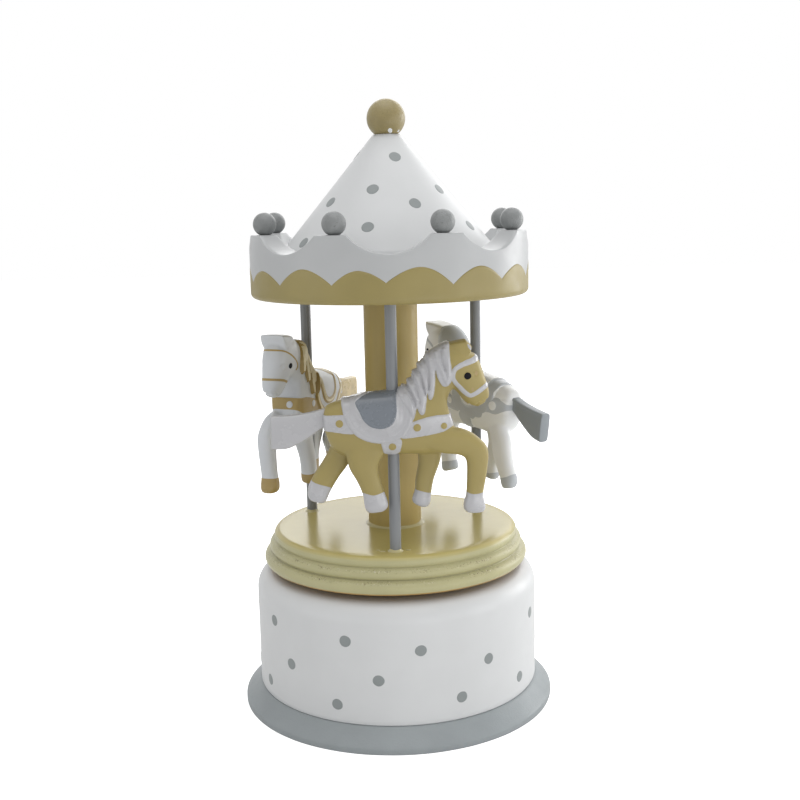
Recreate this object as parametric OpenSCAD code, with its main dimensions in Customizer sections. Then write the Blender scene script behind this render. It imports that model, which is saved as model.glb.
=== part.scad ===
// Wind-up music box in the form of a small painted wooden carousel.
// Z is the axis of the turntable, the origin is the middle of the plinth's underside, and -Y is the front.
// The carousel is wound by turning it clockwise, and turns back as the movement in the base plays.

/* [Base] */
// Radius of the plinth where it stands
plinth_r = 59; // [56:0.5:64]
// Width of the plinth's ring
plinth_width = 13; // [11:0.5:14]
// Height of the plinth
plinth_h = 8; // [7:0.5:14]
// Height of the upright edge of the plinth
plinth_edge = 2; // [1:0.25:4]
// Radius of the base drum
drum_r = 53; // [52:0.5:55]
// Height of the base drum
drum_h = 43; // [40:1:60]
// Wall of the base drum
drum_wall = 6; // [4:0.25:6.5]
// Thickness of the drum's top board
board_t = 7; // [6:0.25:10]
// Radius of the drum's rounded shoulder
shoulder_r = 7; // [2:0.25:7.5]
// Thickness of the bottom cover
cover_t = 3; // [2:0.25:4]
// Depth of the bottom cover inside the plinth
cover_inset = 1; // [0.5:0.25:1.5]
// Width of the step that carries the bottom cover
cover_step = 4; // [3.5:0.25:4.5]

/* [Turntable] */
// Gap between the base drum and the platform
turn_gap = 2.5; // [2:0.1:5]
// Radius of the flat top of the platform
platform_top_r = 43.6; // [42.5:0.1:46]
// Height of the platform
platform_h = 12.8; // [12:0.1:18]
// Radius of the platform's lowest moulding
platform_r = 49.8; // [48.5:0.1:52]
// Radius of the column
column_r = 10; // [7:0.25:14]
// Height of the column between platform and canopy
column_h = 87; // [84:0.1:110]
// Diameter of a pole
pole_d = 4; // [3:0.1:5]
// Radius of the circle that the poles stand on
pole_circle_r = 38; // [34:0.25:38.5]
// Depth of the sockets for the column and the poles
socket_depth = 6; // [3:0.25:8]

/* [Horses] */
// Height of a horse's belly above the platform
horse_lift = 35.7; // [30:0.1:38]
// Length of a horse from rump to nose
horse_length = 56.3; // [50:0.1:58]
// Height of a horse from its lowest hoof to its poll
horse_height = 59.6; // [52:0.1:62]
// Width of a horse across the ribs
horse_width = 13.8; // [10:0.1:16]
// Length of the tail behind the rump
tail_length = 17.9; // [10:0.1:18]
// Thickness of the tail
tail_t = 4.4; // [3.4:0.1:6]
// Radius of the tail's peg
tail_peg_r = 1.4; // [0.8:0.1:1.6]
// How far the saddle stands out from the horse
saddle_relief = 0.8; // [0.3:0.05:1.2]
// How far the saddle cloth stands out from the horse
cloth_relief = 0.45; // [0.2:0.05:0.8]
// How far the straps stand out from the horse
strap_relief = 0.25; // [0.1:0.05:0.5]

/* [Canopy] */
// Radius of the canopy
canopy_r = 51; // [50:0.25:56]
// Height of the canopy
canopy_h = 23; // [21:0.1:30]
// Rounding of the canopy's lower edge
canopy_edge = 2; // [0.5:0.25:4]
// Radius of the round scallops cut into the rim
scallop_r = 18.75; // [17:0.25:20]
// Depth of the scallops
scallop_depth = 6.4; // [3:0.1:7]
// Number of scallops, with a bead between each two
scallops = 8; // [6:1:8]
// Thickness of the canopy's floor under the roof
canopy_floor = 13.4; // [10:0.1:15]
// Radius of the recess that the roof sits in
recess_r = 39.3; // [37:0.1:41]
// Radius of the recess at the rim
rim_inner_r = 43.5; // [42:0.1:44]
// Height of the roof cone
roof_h = 44.3; // [35:0.1:60]
// Radius of the roof's blunt top
roof_top_r = 5; // [4.5:0.1:7]
// Height of the roof's straight foot
roof_foot = 3; // [1:0.25:5]
// Radius of a bead on the rim
bead_r = 4.1; // [3:0.1:4.5]
// Radius of the circle that the beads stand on
bead_circle_r = 47; // [46:0.25:48]
// Radius of the finial ball
finial_r = 7; // [5:0.1:8]

/* [Movement] */
// Radius of the winding arbor
arbor_r = 2; // [1.5:0.05:2.3]
// Thickness of the bedplate
plate_t = 2; // [1.5:0.1:2.5]
// Height of the spring housing
housing_h = 10.6; // [9:0.1:10.6]
// Outer radius of the spring housing
housing_r = 9.8; // [8:0.1:9.9]
// Wall of the spring housing
housing_wall = 0.8; // [0.5:0.05:1.2]
// Thickness of the mainspring's band
spring_t = 0.3; // [0.2:0.05:0.5]
// Turns of the mainspring's coil
spring_turns = 5; // [3:1:6]
// Distance of the pinned cylinder's axis below the bedplate
cylinder_drop = 7.5; // [7.5:0.1:8.5]
// Radius of the pinned cylinder
cylinder_r = 6.2; // [5:0.1:6.3]
// Length of the pinned cylinder
cylinder_l = 16; // [15.6:0.1:16.2]
// How far the pins stand out
pin_h = 0.6; // [0.3:0.05:0.7]
// Number of tines on the comb
tines = 18; // [12:1:18]
// Radius of the fan's blades
fan_r = 5; // [3.5:0.1:5.4]

/* [Clearances] */
// Gap round glued and pressed pieces
fit = 0.05; // [0.03:0.01:0.1]
// Radial gap of shafts that turn
run = 0.05; // [0.03:0.01:0.08]
// Gap under the platform's hub, which rides on the bush
hub_float = 0.1; // [0.05:0.05:0.3]
// Gap between a carved piece and the dowel or peg in it
carve_gap = 0.15; // [0.1:0.01:0.2]

/* [Hidden] */

// Facets of large, middling and small round forms
fine = 96;
medium = 48;
coarse = 24;
over = 0.5;

white = [0.93, 0.93, 0.92];
grey = [0.50, 0.53, 0.55];
tan_paint = [0.66, 0.58, 0.36];
cream = [0.80, 0.77, 0.62];
ochre = [0.69, 0.54, 0.24];
steel = [0.70, 0.71, 0.73];
brass = [0.80, 0.66, 0.36];

// Levels, from the table up
drum_top = plinth_h + drum_h;
ceiling_z = drum_top - board_t;
plate_under = ceiling_z - plate_t;
platform_z = drum_top + turn_gap;
platform_top = platform_z + platform_h;
canopy_z = platform_top + column_h;
canopy_top = canopy_z + canopy_h;
roof_z = canopy_z + canopy_floor;
roof_top = roof_z + roof_h;
drum_inner_r = drum_r - drum_wall;
pole_r = pole_d / 2;

// A disc or pin with its foot at height z
module rod(r, z0, z1, faces = fine) {
    translate([0, 0, z0]) cylinder(r = r, h = z1 - z0, $fn = faces);
}

// Copies round the Z axis
module ring_of(n, radius, start = 0) {
    for (i = [0 : n - 1])
        rotate([0, 0, start + i * 360 / n]) translate([radius, 0, 0]) children();
}

// ---- Base ----

cover_screw_r = 1.2;
cover_head_r = 1.9;
cover_screws_n = 3;
plinth_bore_r = plinth_r - plinth_width;
cover_r = plinth_bore_r + cover_step;
cover_screw_circle = cover_r - cover_step / 2;

module plinth() {
    color(grey) difference() {
        rotate_extrude($fn = fine) polygon([[0, 0], [plinth_r - 0.5, 0], [plinth_r, 0.5],
            [plinth_r, plinth_edge], [plinth_r - 0.6, plinth_edge + 1], [drum_r, plinth_h], [0, plinth_h]]);
        rod(plinth_bore_r, -over, plinth_h + over);
        rod(cover_r + fit, -over, cover_inset + cover_t);
        ring_of(cover_screws_n, cover_screw_circle) rod(cover_screw_r, 0, plinth_h - 0.5, coarse);
    }
}

module base_drum() {
    color(white) difference() {
        rotate_extrude($fn = fine) union() {
            translate([0, plinth_h]) square([drum_r, drum_h - shoulder_r]);
            translate([0, plinth_h]) square([drum_r - shoulder_r, drum_h]);
            translate([drum_r - shoulder_r, drum_top - shoulder_r]) circle(r = shoulder_r, $fn = fine);
        }
        rod(drum_inner_r, plinth_h - over, ceiling_z);
        rod(bush_r + fit, ceiling_z - over, drum_top + over);
        movement_screw_places() rod(screw_r, ceiling_z - over, ceiling_z + screw_bite, coarse);
    }
}

// A countersunk screw that points up from its head's flat face at z0
module wood_screw(r, head_r, z0, z1) {
    rod(r, z0, z1, coarse);
    translate([0, 0, z0]) cylinder(r1 = head_r, r2 = r, h = head_r - r, $fn = coarse);
}

module bottom_cover() {
    color(ochre) difference() {
        rod(cover_r, cover_inset, cover_inset + cover_t);
        ring_of(cover_screws_n, cover_screw_circle) union() {
            rod(cover_screw_r + fit, 0, plinth_h, coarse);
            translate([0, 0, cover_inset - over + fit]) cylinder(r1 = cover_head_r + over,
                r2 = cover_screw_r, h = cover_head_r - cover_screw_r + over, $fn = coarse);
        }
    }
}

module cover_screws() {
    color(steel) ring_of(cover_screws_n, cover_screw_circle)
        wood_screw(cover_screw_r, cover_head_r, cover_inset, plinth_h - 1);
}

// ---- Bearing of the turntable ----

bush_r = 5;
bush_flange_r = 7;
bush_flange_t = 0.8;
hub_r = 12;
hub_t = 1.5;
hub_boss_r = 4;
hub_z = drum_top + bush_flange_t + hub_float;
hub_screw_circle = 8.5;
hub_screw_r = 1;
hub_head_r = 1.8;
hub_screw_bite = 4.5;

module turntable_bush() {
    color(brass) difference() {
        union() {
            rod(bush_r, ceiling_z, drum_top + bush_flange_t);
            rod(bush_flange_r, drum_top, drum_top + bush_flange_t);
        }
        rod(arbor_r + run, ceiling_z - over, drum_top + 2);
    }
}

module winding_arbor() {
    color(steel) rod(arbor_r, crown_z - crown_disc_t - 1, platform_z + platform_h - socket_depth - fit);
}

module drive_hub() {
    color(steel) difference() {
        union() {
            rod(hub_boss_r, hub_z, platform_z + hub_t);
            rod(hub_r, platform_z, platform_z + hub_t);
        }
        rod(arbor_r + fit, hub_z - over, platform_z + hub_t + over);
        ring_of(3, hub_screw_circle) union() {
            rod(hub_screw_r + fit, platform_z - over, platform_z + hub_t + over, coarse);
            translate([0, 0, platform_z - over + fit]) cylinder(r1 = hub_head_r + over,
                r2 = hub_screw_r, h = hub_head_r - hub_screw_r + over, $fn = coarse);
        }
    }
}

module hub_screws() {
    color(steel) ring_of(3, hub_screw_circle)
        wood_screw(hub_screw_r, hub_head_r, platform_z, platform_z + hub_t + hub_screw_bite);
}

// ---- Turntable ----

// Half section of the platform, three rounded mouldings one above the other
module platform_section() {
    low_r = platform_h * 0.195;
    mid_r = platform_h * 0.165;
    top_r = platform_h * 0.19;
    low_z = low_r * 0.85;
    mid_z = low_z + low_r + mid_r * 0.95;
    intersection() {
        union() {
            square([platform_r - 1.8 * low_r, mid_z + mid_r * 0.8]);
            square([platform_top_r, platform_h]);
            translate([platform_r - low_r, low_z]) circle(r = low_r, $fn = medium);
            translate([platform_r - low_r * 0.8 - mid_r, mid_z]) circle(r = mid_r, $fn = medium);
            translate([platform_top_r, platform_h - top_r]) circle(r = top_r, $fn = medium);
        }
        square([platform_r + 1, platform_h]);
    }
}

// Three horses share the ring
horse_turn = 360 / 3;

// Sockets for the poles, open towards the gap between platform and canopy
module pole_sockets(z) {
    for (side = [0 : 2])
        rotate([0, 0, side * horse_turn]) translate([0, -pole_circle_r, 0])
            rod(pole_r + fit, z, z + socket_depth + over, medium);
}

module platform() {
    color(cream) difference() {
        translate([0, 0, platform_z]) rotate_extrude($fn = fine) platform_section();
        rod(column_r + fit, platform_top - socket_depth, platform_top + over);
        rod(arbor_r + fit, platform_z - over, platform_top - over);
        rod(hub_r + fit, platform_z - over, platform_z + hub_t);
        ring_of(3, hub_screw_circle)
            rod(hub_screw_r, platform_z, platform_z + hub_t + hub_screw_bite + over, coarse);
        pole_sockets(platform_top - socket_depth);
    }
}

module column() {
    color(tan_paint) rod(column_r, platform_top - socket_depth, canopy_z + socket_depth);
}

// side counts the poles anticlockwise from the front one
module pole(side) {
    color(grey) rotate([0, 0, side * horse_turn]) translate([0, -pole_circle_r, 0])
        rod(pole_r, platform_top - socket_depth, canopy_z + socket_depth, medium);
}

module pole_front() { pole(0); }
module pole_right() { pole(1); }
module pole_left() { pole(2); }

// ---- Horses ----
// A horse is lofted through sections. Each is [upper x, upper z, lower x, lower z, half width] on a
// horse of the nominal size below, with x forward from the pole and z up from the belly.

nominal_length = 56.3;
nominal_height = 59.6;
nominal_width = 13.8;
leg_offset = 3.4;

// Rump, barrel, chest, neck, poll, brow and muzzle
body_sections = [
    [-23.7, 13.8, -23.7, 10.0, 2.2], [-22.9, 16.2, -22.9, 6.0, 4.7], [-20, 17.7, -20.5, 1.2, 6.2],
    [-14, 19.3, -14.5, -1.4, 6.8], [-7, 20.2, -6, -0.9, 6.9], [0, 20.9, 2, -0.8, 6.8],
    [4.2, 22.4, 11, -1, 6.7], [7.2, 26.6, 18.5, -0.2, 6.6], [9.9, 30.7, 21.4, 5, 6.3],
    [12.9, 34.1, 20, 11.2, 6.0], [16.3, 36.2, 18.7, 16.8, 5.8], [20, 37.4, 20.4, 21.2, 5.9],
    [25, 36.8, 21.8, 20.6, 6.0], [29.3, 32.1, 23.2, 18.8, 5.4], [31.5, 26, 24.8, 16.8, 4.6],
    [32.8, 20.6, 27.2, 15.5, 4.0], [32.2, 17.8, 29.8, 16.2, 2.7]];

// The legs from inside the body down to the hoof, with the front edge first
hind_near = [[-4, 9, -14.5, 9, 1.9], [-2.5, 2, -16.5, 2, 3.1], [-5.2, -4.5, -15.3, -5, 3.3],
    [-4.6, -9.5, -12.9, -9.6, 3.0], [-3.2, -14.4, -10.8, -14.8, 3.0], [-2.4, -17, -10.5, -17.6, 3.2],
    [-2.2, -18.8, -10, -19.9, 3.2], [-3.6, -20.4, -8.8, -21, 2.5]];
hind_far = [[-11, 9, -19.5, 9, 1.9], [-11.9, 2, -21.4, 2.6, 3.1], [-15.9, -5.0, -24.7, -3.3, 3.3],
    [-19.1, -9.2, -27.6, -7.6, 3.1], [-21.9, -13.6, -29.6, -11.5, 3.1], [-23.1, -16.0, -30.3, -14.2, 3.2],
    [-23.9, -17.8, -30.0, -16.4, 3.1], [-24.9, -18.6, -29.2, -17.6, 2.5]];
fore_far = [[16, 9, 8, 9, 1.9], [17, 2, 8, 2, 3.1], [16.2, -4.5, 8.6, -4.5, 3.2], [13.9, -11, 7.4, -11, 3.0],
    [12.9, -16.2, 7.2, -14.6, 3.0], [12.6, -18.6, 6.3, -17.2, 3.2], [12, -20.2, 6.2, -18.8, 3.2],
    [10.9, -20.9, 7.6, -19.8, 2.4]];
fore_near = [[10, 8.5, 10, 1.5, 1.9], [17, 9, 16.5, -0.3, 3.1], [24, 8, 22, -1, 3.3],
    [29, 5, 24.4, -2.2, 3.3], [32.4, 0.5, 25, -4.6, 3.2], [31.9, -7.5, 25, -8.5, 3.0],
    [30.6, -14.8, 24.7, -15, 3.0], [31.0, -17.4, 24.0, -17.2, 3.2], [31.3, -20, 23.8, -19.8, 3.2],
    [30.4, -21.3, 24.8, -21.2, 2.6]];

// How each horse was glued on its pole, in front, at the right and at the left:
// [turn, nose-up pitch, rise, how far the far hind hoof goes forward, and down, and the near fore hoof forward]
horse_set = [[0, 0, 0, 0, 0, 0], [4.5, 2.4, -2.1, 3.0, 1.9, 3.5], [6.5, 0, -0.4, 0, 0, 0]];
// How each tail differs: [slope of its droop, length, height]
tail_set = [[0, 1, 1], [0.158, 0.93, 0.85], [0, 1, 1]];

// Each lock of the mane on the neck, as [x, z] points from the crest down
mane_locks = [[[18.6, 36.4], [17.8, 30.5], [18.2, 25]], [[14.8, 34.8], [13.2, 28], [13.6, 20.5]],
    [[11, 31.5], [9.3, 24.5], [9.8, 16]], [[7.6, 27.5], [5.8, 22.5], [6, 18.5]]];
lock_r = 1.7;

saddle_outline = [[-12.8, 24], [-12.4, 16], [-9.5, 10.8], [-5, 8.7], [-0.6, 9.7], [1.3, 13], [1.6, 24]];
cloth_outline = [[-17.5, 24], [-17, 13.5], [-13, 7.6], [-6, 4.4], [1, 4.4], [5.3, 7.6], [6.8, 13], [3.5, 26]];
rear_strap = [[-30, 8], [-14, 8], [-14, 13.5], [-30, 13.5]];
front_strap = [[3, 5.2], [19, 7.3], [24, 11], [24, 14.5], [19, 12.8], [6.5, 10.8]];
girth = [[-3.5, -4], [2.3, -4], [2.3, 6], [-3.5, 6]];

// One point of a smooth curve through b and c, at t from 0 to 1
function smooth(a, b, c, d, t) = 0.5 * (2 * b + (c - a) * t + (2 * a - 5 * b + 4 * c - d) * t * t
    + (3 * b - a - 3 * c + d) * t * t * t);

// The sections with steps - 1 more between each two
function refined(s, steps) = let (last = len(s) - 1) [
    for (i = [0 : last - 1], k = [0 : steps - 1])
        smooth(s[max(i - 1, 0)], s[i], s[i + 1], s[min(i + 2, last)], k / steps), s[last]];

// A power that keeps the sign, for the squarish ovals of the sections
function signed_power(v, e) = sign(v) * pow(abs(v), e);

// A leg's sections with the hoof moved forward and down, and less so towards the top
knee_z = -3;
shin_l = 12;
function eased(z) = let (t = min(1, max(0, (knee_z - z) / shin_l))) t * t * (3 - 2 * t);
function moved(sections, forward, down) = [for (r = sections)
    [r[0] + forward * eased(r[1]), r[1] - down * eased(r[1]),
    r[2] + forward * eased(r[3]), r[3] - down * eased(r[3]), r[4]]];

// One oval section, standing out by grow
function oval(s, side, grow, n) = let (
    up = [s[0] - s[2], s[1] - s[3]] / 2,
    middle = [s[0] + s[2], s[1] + s[3]] / 2,
    reach = 1 + grow / norm(up)) [
    for (k = [0 : n - 1]) let (
        a = k * 360 / n,
        v = signed_power(cos(a), 0.8) * reach,
        w = signed_power(sin(a), 0.8) * (s[4] + grow))
        [middle[0] + up[0] * v, side + w, middle[1] + up[1] * v]];

// A closed skin over the sections
module loft(sections, side = 0, grow = 0, n = 14, steps = 2) {
    s = refined(sections, steps);
    m = len(s);
    points = [for (r = s) each oval(r, side, grow, n)];
    walls = [for (i = [0 : m - 2], k = [0 : n - 1]) let (j = (k + 1) % n)
        each [[i * n + j, (i + 1) * n + j, i * n + k], [(i + 1) * n + j, (i + 1) * n + k, i * n + k]]];
    caps = [[for (k = [n - 1 : -1 : 0]) k], [for (k = [0 : n - 1]) (m - 1) * n + k]];
    polyhedron(points, concat(walls, caps));
}

// Bands or patches that stand out from the horse's body where the outlines given as children cover it
module patch(grow) {
    intersection() {
        loft(body_sections, 0, grow);
        translate([0, 20, 0]) rotate([90, 0, 0]) linear_extrude(40) children();
    }
}

// A tapering lock of hair through the points, on the side s of the neck
module lock(points, s) {
    for (i = [0 : len(points) - 2]) hull() {
        translate([points[i][0], s * 5.1, points[i][1]]) sphere(r = lock_r, $fn = 6);
        translate([points[i + 1][0], s * 5.7, points[i + 1][1]]) sphere(r = lock_r - 0.5 * i - 0.3, $fn = 6);
    }
}

module forelock() {
    hull() {
        for (s = [-1, 1]) {
            translate([20.5, s * 3.4, 36]) sphere(r = 1.2, $fn = 8);
            translate([27, s * 3.2, 37.1]) sphere(r = 0.9, $fn = 8);
            translate([26, s * 2.8, 32.5]) sphere(r = 0.9, $fn = 8);
        }
    }
}

module horse_form(side) {
    set = horse_set[side];
    loft(body_sections);
    loft(hind_near, -leg_offset, 0, 8, 1);
    loft(moved(hind_far, set[3], set[4]), leg_offset, 0, 8, 1);
    loft(fore_far, leg_offset, 0, 8, 1);
    loft(moved(fore_near, set[5], 0), -leg_offset, 0, 8, 1);
    patch(saddle_relief) polygon(saddle_outline);
    patch(cloth_relief) polygon(cloth_outline);
    patch(strap_relief) union() {
        polygon(rear_strap);
        polygon(front_strap);
        polygon(girth);
    }
    for (points = mane_locks, s = [-1, 1]) lock(points, s);
    forelock();
}

// Puts what stands at a pole's foot on its place in the ring
module at_pole(side) {
    rotate([0, 0, side * horse_turn]) translate([0, -pole_circle_r, platform_top + horse_lift]) children();
}

// Puts a horse's own frame, with x forward from its pole, on its place in the ring
module in_ring(side) {
    set = horse_set[side];
    at_pole(side) translate([0, 0, set[2]]) rotate([0, 0, set[0]]) rotate([0, -set[1], 0]) children();
}

module to_size() {
    scale([horse_length / nominal_length, horse_width / nominal_width, horse_height / nominal_height])
        children();
}

tail_x = -23.9 * horse_length / nominal_length;
tail_z = 12 * horse_height / nominal_height;
tail_peg_l = 4.5;
tail_root_up = 3.8;
tail_root_down = 3;
tail_end_up = 1.1;
tail_end_down = 9.6;

module tail_peg(extra) {
    translate([tail_x - 2, 0, tail_z]) rotate([0, 90, 0])
        cylinder(r = tail_peg_r + extra, h = tail_peg_l + 2 + extra, $fn = coarse);
}

module horse(side) {
    difference() {
        in_ring(side) difference() {
            to_size() horse_form(side);
            tail_peg(carve_gap);
        }
        at_pole(side) translate([0, 0, -20]) cylinder(r = pole_r + carve_gap, h = 60, $fn = coarse);
    }
}

module horse_front() { color(tan_paint) horse(0); }
module horse_right() { color(white) horse(1); }
module horse_left() { color(white) horse(2); }

// The tail is a flat wedge with a square-cut end, pegged into the rump
module tail(side) {
    set = tail_set[side];
    outline = [[0, tail_root_up], [-tail_length * 0.62, tail_end_up * 1.2], [-tail_length, tail_end_up],
        [-tail_length, -tail_end_down], [-tail_length * 0.79, -tail_end_down * 1.04],
        [-tail_length * 0.25, -tail_root_down * 1.65], [0, -tail_root_down]];
    in_ring(side) union() {
        translate([tail_x, tail_t / 2, tail_z]) rotate([90, 0, 0]) linear_extrude(tail_t)
            polygon([for (p = outline) [p[0] * set[1], p[1] * set[2] + p[0] * set[1] * set[0]]]);
        tail_peg(0);
    }
}

module tail_front() { color(white) tail(0); }
module tail_right() { color(grey) tail(1); }
module tail_left() { color(ochre) tail(2); }

// ---- Canopy and roof ----

module canopy() {
    color(white) difference() {
        rotate_extrude($fn = fine) union() {
            translate([0, canopy_z]) square([canopy_r - canopy_edge, canopy_h]);
            translate([0, canopy_z + canopy_edge]) square([canopy_r, canopy_h - canopy_edge]);
            translate([canopy_r - canopy_edge, canopy_z + canopy_edge]) circle(r = canopy_edge, $fn = medium);
        }
        rod(recess_r, roof_z, canopy_top + over);
        translate([0, 0, roof_z + roof_foot]) cylinder(r1 = recess_r,
            r2 = rim_inner_r + (rim_inner_r - recess_r) * over / (canopy_h - canopy_floor - roof_foot),
            h = canopy_h - canopy_floor - roof_foot + over, $fn = fine);
        for (i = [0 : scallops - 1]) rotate([0, 0, i * 360 / scallops - 90])
            translate([recess_r / 2, 0, canopy_top - scallop_depth + scallop_r]) rotate([0, 90, 0])
                cylinder(r = scallop_r, h = canopy_r, $fn = fine);
        rod(column_r + fit, canopy_z - over, canopy_z + socket_depth);
        pole_sockets(canopy_z - over);
    }
}

finial_flat = 4;
finial_pin_r = 1.5;
finial_pin_l = 8;
finial_z = roof_top + sqrt(finial_r * finial_r - finial_flat * finial_flat);

module roof_cone() {
    color(white) difference() {
        union() {
            rod(recess_r - fit, roof_z, roof_z + roof_foot);
            translate([0, 0, roof_z + roof_foot]) cylinder(r1 = recess_r - fit, r2 = roof_top_r,
                h = roof_h - roof_foot, $fn = fine);
        }
        rod(finial_pin_r + fit, roof_top - finial_pin_l - fit, roof_top + over, coarse);
    }
}

module finial() {
    color(tan_paint) union() {
        intersection() {
            translate([0, 0, finial_z]) sphere(r = finial_r, $fn = fine);
            rod(finial_r + 1, roof_top, roof_top + 3 * finial_r);
        }
        rod(finial_pin_r, roof_top - finial_pin_l, roof_top + 1, coarse);
    }
}

bead_flat = 1.8;

module roof_beads() {
    color(grey) ring_of(scallops, bead_circle_r, 180 / scallops - 90) intersection() {
        translate([0, 0, canopy_top + sqrt(bead_r * bead_r - bead_flat * bead_flat)])
            sphere(r = bead_r, $fn = medium);
        rod(bead_r + 1, canopy_top, canopy_top + 3 * bead_r);
    }
}

// ---- Movement: bedplate and what it carries ----

screw_r = 1.2;
screw_head_r = 2.4;
screw_head_t = 1.4;
screw_bite = 5;
plate_x0 = -14;
plate_x1 = 40;
plate_y0 = -20;
plate_y1 = 22.5;
plate_cut = 5;

screw_inset = 5;

// The gear train: teeth of each wheel, from the winding arbor to the fan's worm
crown_teeth = 36;
pinion_teeth = 12;
gear_teeth = 30;
gov_pinion_teeth = 10;
worm_wheel_teeth = 20;

// The crown wheel turns about Z, the cylinder about a radius of the arbor.
crown_r = 11.25;
crown_module = 2 * crown_r / crown_teeth;
pinion_r = crown_module * pinion_teeth / 2;
crown_face = 1.4;
crown_disc_t = 1.2;
axle_z = plate_under - cylinder_drop;
crown_z = axle_z - pinion_r - 1.2 * crown_module;
shaft_r = 1;
pinion_x0 = 10.5;
pinion_x1 = 12.5;
inner_post_x = 13;
post_t = 1.5;
cylinder_x0 = 15.2;
cylinder_x1 = cylinder_x0 + cylinder_l;
gear_x0 = cylinder_x1 + 0.4;
gear_t = 1.4;
fine_module = 0.4;
gear_r = fine_module * gear_teeth / 2;
gov_pinion_r = fine_module * gov_pinion_teeth / 2;
gov_dip = 22;
gov_y = -(gear_r + gov_pinion_r) * cos(gov_dip);
gov_z = axle_z - (gear_r + gov_pinion_r) * sin(gov_dip);
ear_t = 0.6;
ear_gap = 0.4;
ear_x0 = gear_x0 + gear_t + ear_gap;
wheel_x0 = ear_x0 + ear_t + ear_gap;
wheel_t = 1.6;
ear_x1 = wheel_x0 + wheel_t + ear_gap;
outer_post_x = ear_x0;
outer_post_t = 2;
pivot_r = 0.5;
worm_wheel_r = fine_module * worm_wheel_teeth / 2;
worm_pitch = PI * fine_module;
worm_tip_r = 1.6;
worm_core_r = 0.75;
worm_turns = 3.5;
fan_x = wheel_x0 + wheel_t / 2;
fan_y = gov_y - worm_wheel_r - 1.3;
frame_t = 0.8;
frame_y = plate_y0 + 0.2;
frame_x0 = ear_x0 - 2.4;
frame_x1 = ear_x1 + 2.6;

comb_t = 1.8;
comb_y0 = 16;
comb_y1 = 22;
comb_gap = 0.25;
tine_t = 0.5;
tine_w = 0.6;
tine_pitch = 0.85;
tine_x0 = cylinder_x0 + 0.6;
comb_screw_r = 0.8;
comb_head_r = 1.5;
comb_head_t = 0.5;
comb_screw_pitch = 6;
post_w = 4;
ear_w = 3.6;
foot_drop = 13.8;
frame_foot_z = gov_z - foot_drop;

module movement_screw_places() {
    near_y = plate_y1 - 1.7 * screw_inset;
    for (p = [[plate_x0 + screw_inset, near_y], [plate_x0 + screw_inset, plate_y0 + 1.2 * screw_inset],
        [plate_x1 - 3.2 * screw_inset, plate_y0 + screw_inset], [plate_x1 - 0.6 * screw_inset, near_y]])
        translate([p[0], p[1], 0]) children();
}

module comb_screw_places() {
    for (i = [0 : 2]) translate([tine_x0 + comb_head_r + i * comb_screw_pitch,
        (comb_y0 + comb_y1) / 2 + comb_head_t, 0]) children();
}

// A post under the bedplate that carries the cylinder's arbor
module bearing_post(x, thick) {
    difference() {
        translate([x, -post_w / 2, axle_z - post_w / 2]) cube([thick, post_w, cylinder_drop + post_w / 2]);
        translate([x - over, 0, axle_z]) rotate([0, 90, 0])
            cylinder(r = shaft_r + run, h = thick + 2 * over, $fn = coarse);
    }
}

module bedplate() {
    color(brass) union() {
        difference() {
            translate([0, 0, plate_under]) linear_extrude(plate_t) polygon([
                [plate_x0 + plate_cut, plate_y0], [plate_x1 - plate_cut, plate_y0],
                [plate_x1, plate_y0 + plate_cut], [plate_x1, plate_y1 - plate_cut],
                [plate_x1 - plate_cut, plate_y1], [plate_x0 + plate_cut, plate_y1],
                [plate_x0, plate_y1 - plate_cut], [plate_x0, plate_y0 + plate_cut]]);
            rod(arbor_r + 1, plate_under - over, ceiling_z + over);
            movement_screw_places() rod(screw_r + fit, plate_under - over, ceiling_z + over, coarse);
        }
        bearing_post(inner_post_x, post_t);
        bearing_post(outer_post_x, outer_post_t);
        difference() {
            translate([tine_x0, comb_y0 + 0.5, axle_z + comb_t / 2])
                cube([tines * tine_pitch, comb_y1 - comb_y0 - 0.5, cylinder_drop - comb_t / 2]);
            comb_screw_places() rod(comb_screw_r, axle_z, plate_under - 1, coarse);
        }
    }
}

module movement_screws() {
    color(steel) movement_screw_places() union() {
        rod(screw_r, plate_under - 1, ceiling_z + screw_bite - over, coarse);
        rod(screw_head_r, plate_under - screw_head_t, plate_under, coarse);
    }
}

module spring_housing() {
    color(steel) difference() {
        rod(housing_r, plate_under - housing_h, plate_under);
        rod(housing_r - housing_wall, plate_under - housing_h + housing_wall, plate_under + over);
        rod(arbor_r + run, plate_under - housing_h - over, plate_under, medium);
    }
}

// The mainspring lies wound round the arbor, with its outer end at the housing's wall
spring_steps = 20;
spring_in_r = arbor_r + 1;
spring_out_r = housing_r - housing_wall - spring_t - fit;

function spring_point(k, extra) = let (
    share = k / (spring_turns * spring_steps),
    r = spring_in_r + (spring_out_r - spring_in_r) * share + extra,
    a = k * 360 / spring_steps) [r * cos(a), r * sin(a)];

module mainspring() {
    n = spring_turns * spring_steps;
    color(steel) translate([0, 0, plate_under - housing_h + housing_wall + 0.4])
        linear_extrude(housing_h - housing_wall - 0.8) polygon(concat(
            [for (k = [0 : n]) spring_point(k, 0)], [for (k = [n : -1 : 0]) spring_point(k, spring_t)]));
}

module comb() {
    color(steel) difference() {
        union() {
            translate([tine_x0, comb_y0, axle_z - comb_t / 2])
                cube([tines * tine_pitch, comb_y1 - comb_y0, comb_t]);
            for (i = [0 : tines - 1])
                translate([tine_x0 + (i + 0.5) * tine_pitch - tine_w / 2,
                    cylinder_r + pin_h + comb_gap, axle_z - tine_t / 2])
                    cube([tine_w, comb_y0 + 0.5 - cylinder_r - pin_h - comb_gap, tine_t]);
        }
        comb_screw_places() rod(comb_screw_r + fit, axle_z - comb_t, axle_z + comb_t, coarse);
    }
}

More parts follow.
